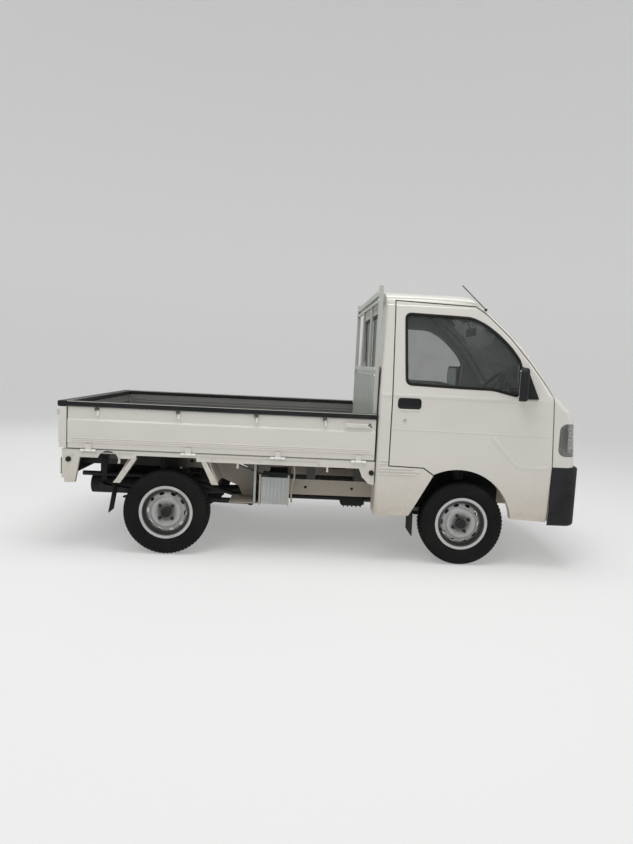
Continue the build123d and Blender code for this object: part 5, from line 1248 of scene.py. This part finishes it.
class TRUCK_OT_interior(bpy.types.Operator):
    """Makes the seats, the levers, the dials and the small parts inside the cab"""
    bl_idname = "truck.interior"
    bl_label = "Interior"

    def execute(self, context):
        for side, sign in SIDES:
            for name, pad_x, pad_z, half, crown, channels, lean in SEAT_PADS:
                work = bmesh.new()
                padded_form(work, Vector((pad_x, sign * SEAT_Y, pad_z)), half, crown, channels, radians(lean))
                new_piece(f"{name}_{side}", work, "seat_vinyl", "chassis", 60)
            if side == "right":
                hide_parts("seat_cushions")
                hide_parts("seat_backs")
        work = bmesh.new()
        add_tube(work, smooth_path(GEAR_LEVER, 5), 0.007, 10)
        add_lathe(work, GEAR_KNOB, (0.99, -0.03, 0.925), (0, 0, 1), 24)
        add_lathe(work, GEAR_BOOT, (0.98, -0.03, 0.690), (0, 0, 1), 24)
        add_tube(work, HANDBRAKE, [0.010, 0.011, 0.013], 12)
        add_section(work, round_corners(DIAL_HOOD, 0.04), (0, 0, 1.070), (0, 0, 1.135),
                    lambda x, y: Vector((x, y, 0)))
        add_block(work, (1.290, -0.10, 0.93), (1.302, 0.10, 1.05), 0.006, 3)
        for vent_y in VENTS_Y:
            add_block(work, (1.290, vent_y - 0.045, 0.985), (1.299, vent_y + 0.045, 1.035), 0.004)
        for pedal_y in PEDALS_Y:
            add_block(work, (1.385, pedal_y - 0.028, 0.600), (1.400, pedal_y + 0.028, 0.665), 0.004, 2,
                      Matrix.Rotation(radians(-35), 3, "Y"))
            add_tube(work, [(1.395, pedal_y, 0.635), (1.44, pedal_y, 0.72), (1.45, pedal_y, 0.80)], 0.006)
        new_piece("cab_fittings", work, "interior_plastic")
        work = bmesh.new()
        for sign in SIGNS:
            middle_y, stem_y = sign * SEAT_Y, sign * 0.47
            add_block(work, (0.857, middle_y - 0.20, 1.632), (0.992, middle_y + 0.20, 1.648), 0.007, 3,
                      Matrix.Rotation(radians(35), 3, "Y"))
            add_tube(work, [(0.876, stem_y, 1.672), (0.870, stem_y, 1.690), (0.864, stem_y, 1.708)], 0.006)
        add_block(work, (1.060, -0.11, 1.515), (1.078, 0.11, 1.575), 0.008, 3)
        add_tube(work, [(1.066, 0, 1.560), (1.054, 0, 1.586), (1.040, 0, 1.612)], 0.006)
        new_piece("visors", work, "interior_plastic")
        work = bmesh.new()
        for dial_y in DIALS_Y:
            add_lathe(work, DIAL, (1.2405, dial_y, 1.100), (-1, 0, 0.15), 36)
        new_piece("dials", work, "reflector", slot="cast_metal")
        return {"FINISHED"}


# Stops of the open side gates. Columns: place along the truck, height.
GATE_STOPS = ((-1.6155, 0.592), (CAB_REAR_X - 0.027, 0.583))

# The mudguards' legs. Columns: top and foot from the rear axle, foot's height, way that the bolts are moved.
GUARD_TOP_Z = 0.607
GUARD_LEGS = ((-0.215, -0.327, 0.452, 1), (0.242, 0.322, 0.463, -1))
GUARD_BOLT_SHARES = (0.15, 0.5, 0.86)

# Bolts on the headboard's posts, by height, and on the sills, by place along the truck
HEADBOARD_BOLTS = (0.70, 0.95, 1.20, 1.243, 1.675, 1.72)
SILL_BOLTS = (-1.59, -1.30, -0.72, -0.42, -0.05, 0.24)

# Clamps under the mudguards' legs. Columns: place along the truck, height.
GUARD_CLAMPS = ((REAR_AXLE_X - 0.327, 0.456), (REAR_AXLE_X + 0.322, 0.467))
SILL_EDGES = ((-1.545, -1.22), (-0.80, -0.05))


class TRUCK_OT_bed(bpy.types.Operator):
    """Makes the bolts, stops, clamps and edges on the bed, the headboard and the mudguards"""
    bl_idname = "truck.bed"
    bl_label = "Bed"

    def execute(self, context):
        stops = bmesh.new()
        bolts = bmesh.new()
        clamps = bmesh.new()
        edges = bmesh.new()
        for sign in SIGNS:
            outward = (0, sign, 0)
            for stop_x, stop_z in GATE_STOPS:
                add_lathe(stops, GATE_STOP, (stop_x, sign * 0.720, stop_z), outward, 24)
            for top, foot, foot_z, way in GUARD_LEGS:
                for share in GUARD_BOLT_SHARES:
                    bolt_x = REAR_AXLE_X + top + (foot - top) * share + way * 0.010
                    bolt_z = GUARD_TOP_Z + (foot_z - GUARD_TOP_Z) * share
                    add_lathe(bolts, GUARD_BOLT, (bolt_x, sign * 0.7145, bolt_z), outward, 12)
            for bolt_z in HEADBOARD_BOLTS:
                add_lathe(bolts, HEADBOARD_BOLT, (0.2795, sign * 0.668, bolt_z), (-1, 0, 0), 12)
            for bolt_x in SILL_BOLTS:
                add_lathe(bolts, SILL_BOLT, (bolt_x, sign * 0.7185, 0.622), outward, 12)
            for clamp_x, clamp_z in GUARD_CLAMPS:
                add_block(clamps, (clamp_x - 0.012, sign * 0.55, clamp_z - 0.006),
                          (clamp_x + 0.012, sign * 0.700, clamp_z + 0.006), 0.002)
            for low_x, high_x in SILL_EDGES:
                add_block(edges, (low_x, sign * 0.7145, 0.636), (high_x, sign * 0.7195, 0.6405), 0.0015)
        new_piece("gate_stops", stops, "seal_rubber")
        new_piece("bed_bolts", bolts, "zinc")
        new_piece("guard_clamps", clamps, "under_steel")
        new_piece("sill_edges", edges, "bed_paint")
        return {"FINISHED"}


# The battery box, in metres: its outer face, its ribs and straps along the truck, and the line of its stay
BOX_FACE_Y = -0.6405
BOX_RIBS = (-0.402, -0.378, -0.354, -0.330, -0.306, -0.282, -0.258)
BOX_STRAPS = (-0.4175, -0.2335)
BOX_STAY = ((-0.205, -0.605, 0.60), (-0.200, -0.605, 0.52), (-0.218, -0.605, 0.44), (-0.212, -0.605, 0.345))

# The rear springs' lower leaves. Columns: height from the main leaf, half length.
SPRING_LEAVES = ((-0.012, 0.34), (-0.019, 0.24), (-0.026, 0.15))
SPRING_Z = 0.307
SPRING_Y = (0.413, 0.461)
SPRING_CLAMP_Y = (0.409, 0.465)

# Black discs that paint the shade in the holes through the frame rails. Columns: outline, places along the
# truck, height.
RAIL_HOLES = ((RAIL_HOLE, (-0.12, 0.20), 0.410), (REAR_RAIL_HOLE, (-0.90, -1.28), 0.560))
BRAKE_PIPE = ((1.30, -0.395, 0.352), (0.8, -0.36, 0.350), (0.1, -0.36, 0.352), (-0.30, -0.36, 0.352))

# The tank straps' places along the truck, and their line round the tank. Columns: place across, height.
TANK_STRAPS = (-0.30, -0.12)
TANK_STRAP = ((0.40, 0.478), (0.60, 0.4785), (0.672, 0.452), (0.678, 0.38), (0.672, 0.315), (0.60, 0.290),
              (0.42, 0.290))

SUMP_PIPE = ((0.14, -0.2, 0.30), (0.02, -0.2, 0.31), (-0.10, -0.16, 0.33))
SILENCER_ENDS = (-1.610, -1.604, -1.280, -1.274)
SILENCER_PIPE = ((-1.275, -0.250, 0.350), (-1.20, -0.25, 0.36), (-1.14, -0.27, 0.43))
INTAKE_DUCT = ((0.19, 0.12, 0.52), (0.27, 0.12, 0.52), (0.33, 0.08, 0.50), (0.43, 0.06, 0.50))


def add_ribs(work, places, half, low, high, round_by, steps=2):
    """Blocks across the truck. Columns of low and high: place across, height."""
    for rib_x in places:
        add_block(work, (rib_x - half, *low), (rib_x + half, *high), round_by, steps)


class TRUCK_OT_underbody(bpy.types.Operator):
    """Makes the battery box's lid, straps, springs' leaves, pipes and other parts under the floor"""
    bl_idname = "truck.underbody"
    bl_label = "Underbody"

    def execute(self, context):
        self.battery_box()
        self.springs_and_rails()
        self.pipes_and_straps()
        self.guessed_parts()
        return {"FINISHED"}

    def battery_box(self):
        """The battery box's lid, ribs, straps and stay."""
        work = bmesh.new()
        add_block(work, (-0.3635, -0.6305, 0.508), (-0.2435, -0.4235, 0.546), 0.006, 3)
        add_block(work, (-0.335, -0.6345, 0.490), (-0.270, -0.6265, 0.530), 0.004)
        new_piece("battery_lid", work, "black_plastic")
        work = bmesh.new()
        add_ribs(work, BOX_RIBS, 0.002, (BOX_FACE_Y - 0.0025, 0.348), (BOX_FACE_Y + 0.001, 0.500), 0.001)
        new_piece("battery_ribs", work, "grey_plastic")
        work = bmesh.new()
        for strap_x in BOX_STRAPS:
            add_block(work, (strap_x - 0.009, BOX_FACE_Y - 0.002, 0.330),
                      (strap_x + 0.003, BOX_FACE_Y + 0.004, 0.530), 0.0015)
        add_tube(work, smooth_path(BOX_STAY, 5), 0.006)
        add_block(work, (-0.62, -0.6305, 0.334), (-0.40, -0.40, 0.3385), 0.0015)
        new_piece("battery_straps", work, "frame_paint")

    def springs_and_rails(self):
        """The rear springs' lower leaves with their clamps, and black discs that paint the shade in the frame
        rails' holes.
        """
        springs = bmesh.new()
        holes = bmesh.new()
        for sign in SIGNS:
            for lift, half in SPRING_LEAVES:
                line = []
                for k in range(13):
                    offset = half * (k / 6 - 1)
                    line.append((REAR_AXLE_X + offset, SPRING_Z + lift + 0.08 * offset ** 2))
                for first, second in zip(line, line[1:]):
                    heights = (first[1], second[1])
                    add_block(springs, (first[0], sign * SPRING_Y[0], min(heights) - 0.003),
                              (second[0] + 0.001, sign * SPRING_Y[1], max(heights) + 0.003))
            for clamp_x in (REAR_AXLE_X - 0.045, REAR_AXLE_X + 0.045):
                inner_y, outer_y = (sign * y for y in SPRING_CLAMP_Y)
                add_tube(springs, [(clamp_x, inner_y, 0.225), (clamp_x, inner_y, 0.350),
                                   (clamp_x, outer_y, 0.350), (clamp_x, outer_y, 0.225)], 0.006)
            add_block(springs, (REAR_AXLE_X - 0.06, sign * 0.402, 0.226),
                      (REAR_AXLE_X + 0.06, sign * 0.472, 0.236), 0.002)
            # Flat black discs paint the shade seen in the rails' holes
            for outline, places, hole_z in RAIL_HOLES:
                for hole_x in places:
                    add_lathe(holes, outline, (hole_x, sign * 0.405, hole_z), (0, sign, 0), 20)
        new_piece("spring_leaves", springs, "under_steel")
        new_piece("rail_hole_shades", holes, "seal_rubber")

    def pipes_and_straps(self):
        """The brake pipes, the tank straps, and dark sheets on the rails that paint the shade in the front
        wheel arches.
        """
        work = bmesh.new()
        pipe = smooth_path(BRAKE_PIPE)
        add_tube(work, pipe, 0.004)
        add_tube(work, [p + Vector((0, 0.014, 0)) for p in pipe], 0.004)
        new_piece("brake_pipes", work, "zinc")
        work = bmesh.new()
        for strap_x in TANK_STRAPS:
            add_tube(work, smooth_path([(strap_x, y, z) for y, z in TANK_STRAP], 4), 0.006)
        new_piece("tank_straps", work, "under_steel")
        # Dark rubber sheets over the rails in the front wheel arches paint the shade there
        work = bmesh.new()
        for sign in SIGNS:
            add_block(work, (FRONT_AXLE_X - 0.318, sign * 0.4055, 0.300),
                      (FRONT_AXLE_X + 0.318, sign * 0.4085, 0.520), 0.0008, 1)
        new_piece("arch_shade_sheets", work, "flap_rubber")

    def guessed_parts(self):
        """The gearbox's sump, the vapour canister, the tail silencer and the air cleaner."""
        work = bmesh.new()
        add_block(work, (0.135, -0.300, 0.262), (0.300, -0.110, 0.350), 0.020, 3)
        add_ribs(work, (0.160, 0.190, 0.220, 0.250, 0.280), 0.003, (-0.290, 0.254), (-0.120, 0.270), 0.001, 1)
        add_tube(work, smooth_path(SUMP_PIPE), 0.019, 16)
        new_piece("gearbox_sump", work, "undercoat")
        work = bmesh.new()
        add_block(work, (-0.060, 0.430, 0.285), (0.296, 0.560, 0.420), 0.030, 4)
        add_ribs(work, (0.000, 0.118, 0.236), 0.006, (0.426, 0.281), (0.564, 0.424), 0.004)
        new_piece("vapour_canister", work, "black_plastic")
        work = bmesh.new()
        add_tube(work, [(x, -0.250, 0.350) for x in SILENCER_ENDS], 0.066, 32)
        add_tube(work, smooth_path(SILENCER_PIPE), 0.019, 16)
        add_ribs(work, (-1.55, -1.33), 0.012, (-0.256, 0.410), (-0.244, 0.516), 0.002, 1)
        new_piece("tail_silencer", work, "undercoat")
        work = bmesh.new()
        add_block(work, (0.050, 0.02, 0.468), (0.200, 0.24, 0.572), 0.018, 3)
        add_tube(work, smooth_path(INTAKE_DUCT, 5), 0.032, 16)
        for ring_x in (0.215, 0.235, 0.255, 0.275):
            add_lathe(work, DUCT_RING, (ring_x, 0.12, 0.52), (1, 0, 0), 20)
        new_piece("air_cleaner", work, "black_plastic")


class TRUCK_PT_panel(bpy.types.Panel):
    """Lists the truck's steps and settings"""
    bl_label = "Kei truck"
    bl_idname = "TRUCK_PT_panel"
    bl_space_type = "VIEW_3D"
    bl_region_type = "UI"
    bl_category = "Truck"

    def draw(self, context):
        for name in TruckSettings.__annotations__:
            self.layout.prop(settings(), name)
        for step in STEPS:
            self.layout.operator(step.bl_idname)


STEPS = (TRUCK_OT_stage, TRUCK_OT_finishes, TRUCK_OT_wheels, TRUCK_OT_gates, TRUCK_OT_doors, TRUCK_OT_cab,
         TRUCK_OT_lamps, TRUCK_OT_interior, TRUCK_OT_bed, TRUCK_OT_underbody)
CLASSES = (TruckSettings, TRUCK_PT_panel) + STEPS


def register():
    for item in CLASSES:
        bpy.utils.register_class(item)
    bpy.types.Scene.truck_settings = PointerProperty(type=TruckSettings)


def unregister():
    del bpy.types.Scene.truck_settings
    for item in reversed(CLASSES):
        bpy.utils.unregister_class(item)


def main():
    register()
    for step in STEPS:
        group, name = step.bl_idname.split(".")
        getattr(getattr(bpy.ops, group), name)()


if __name__ == "__main__":
    main()
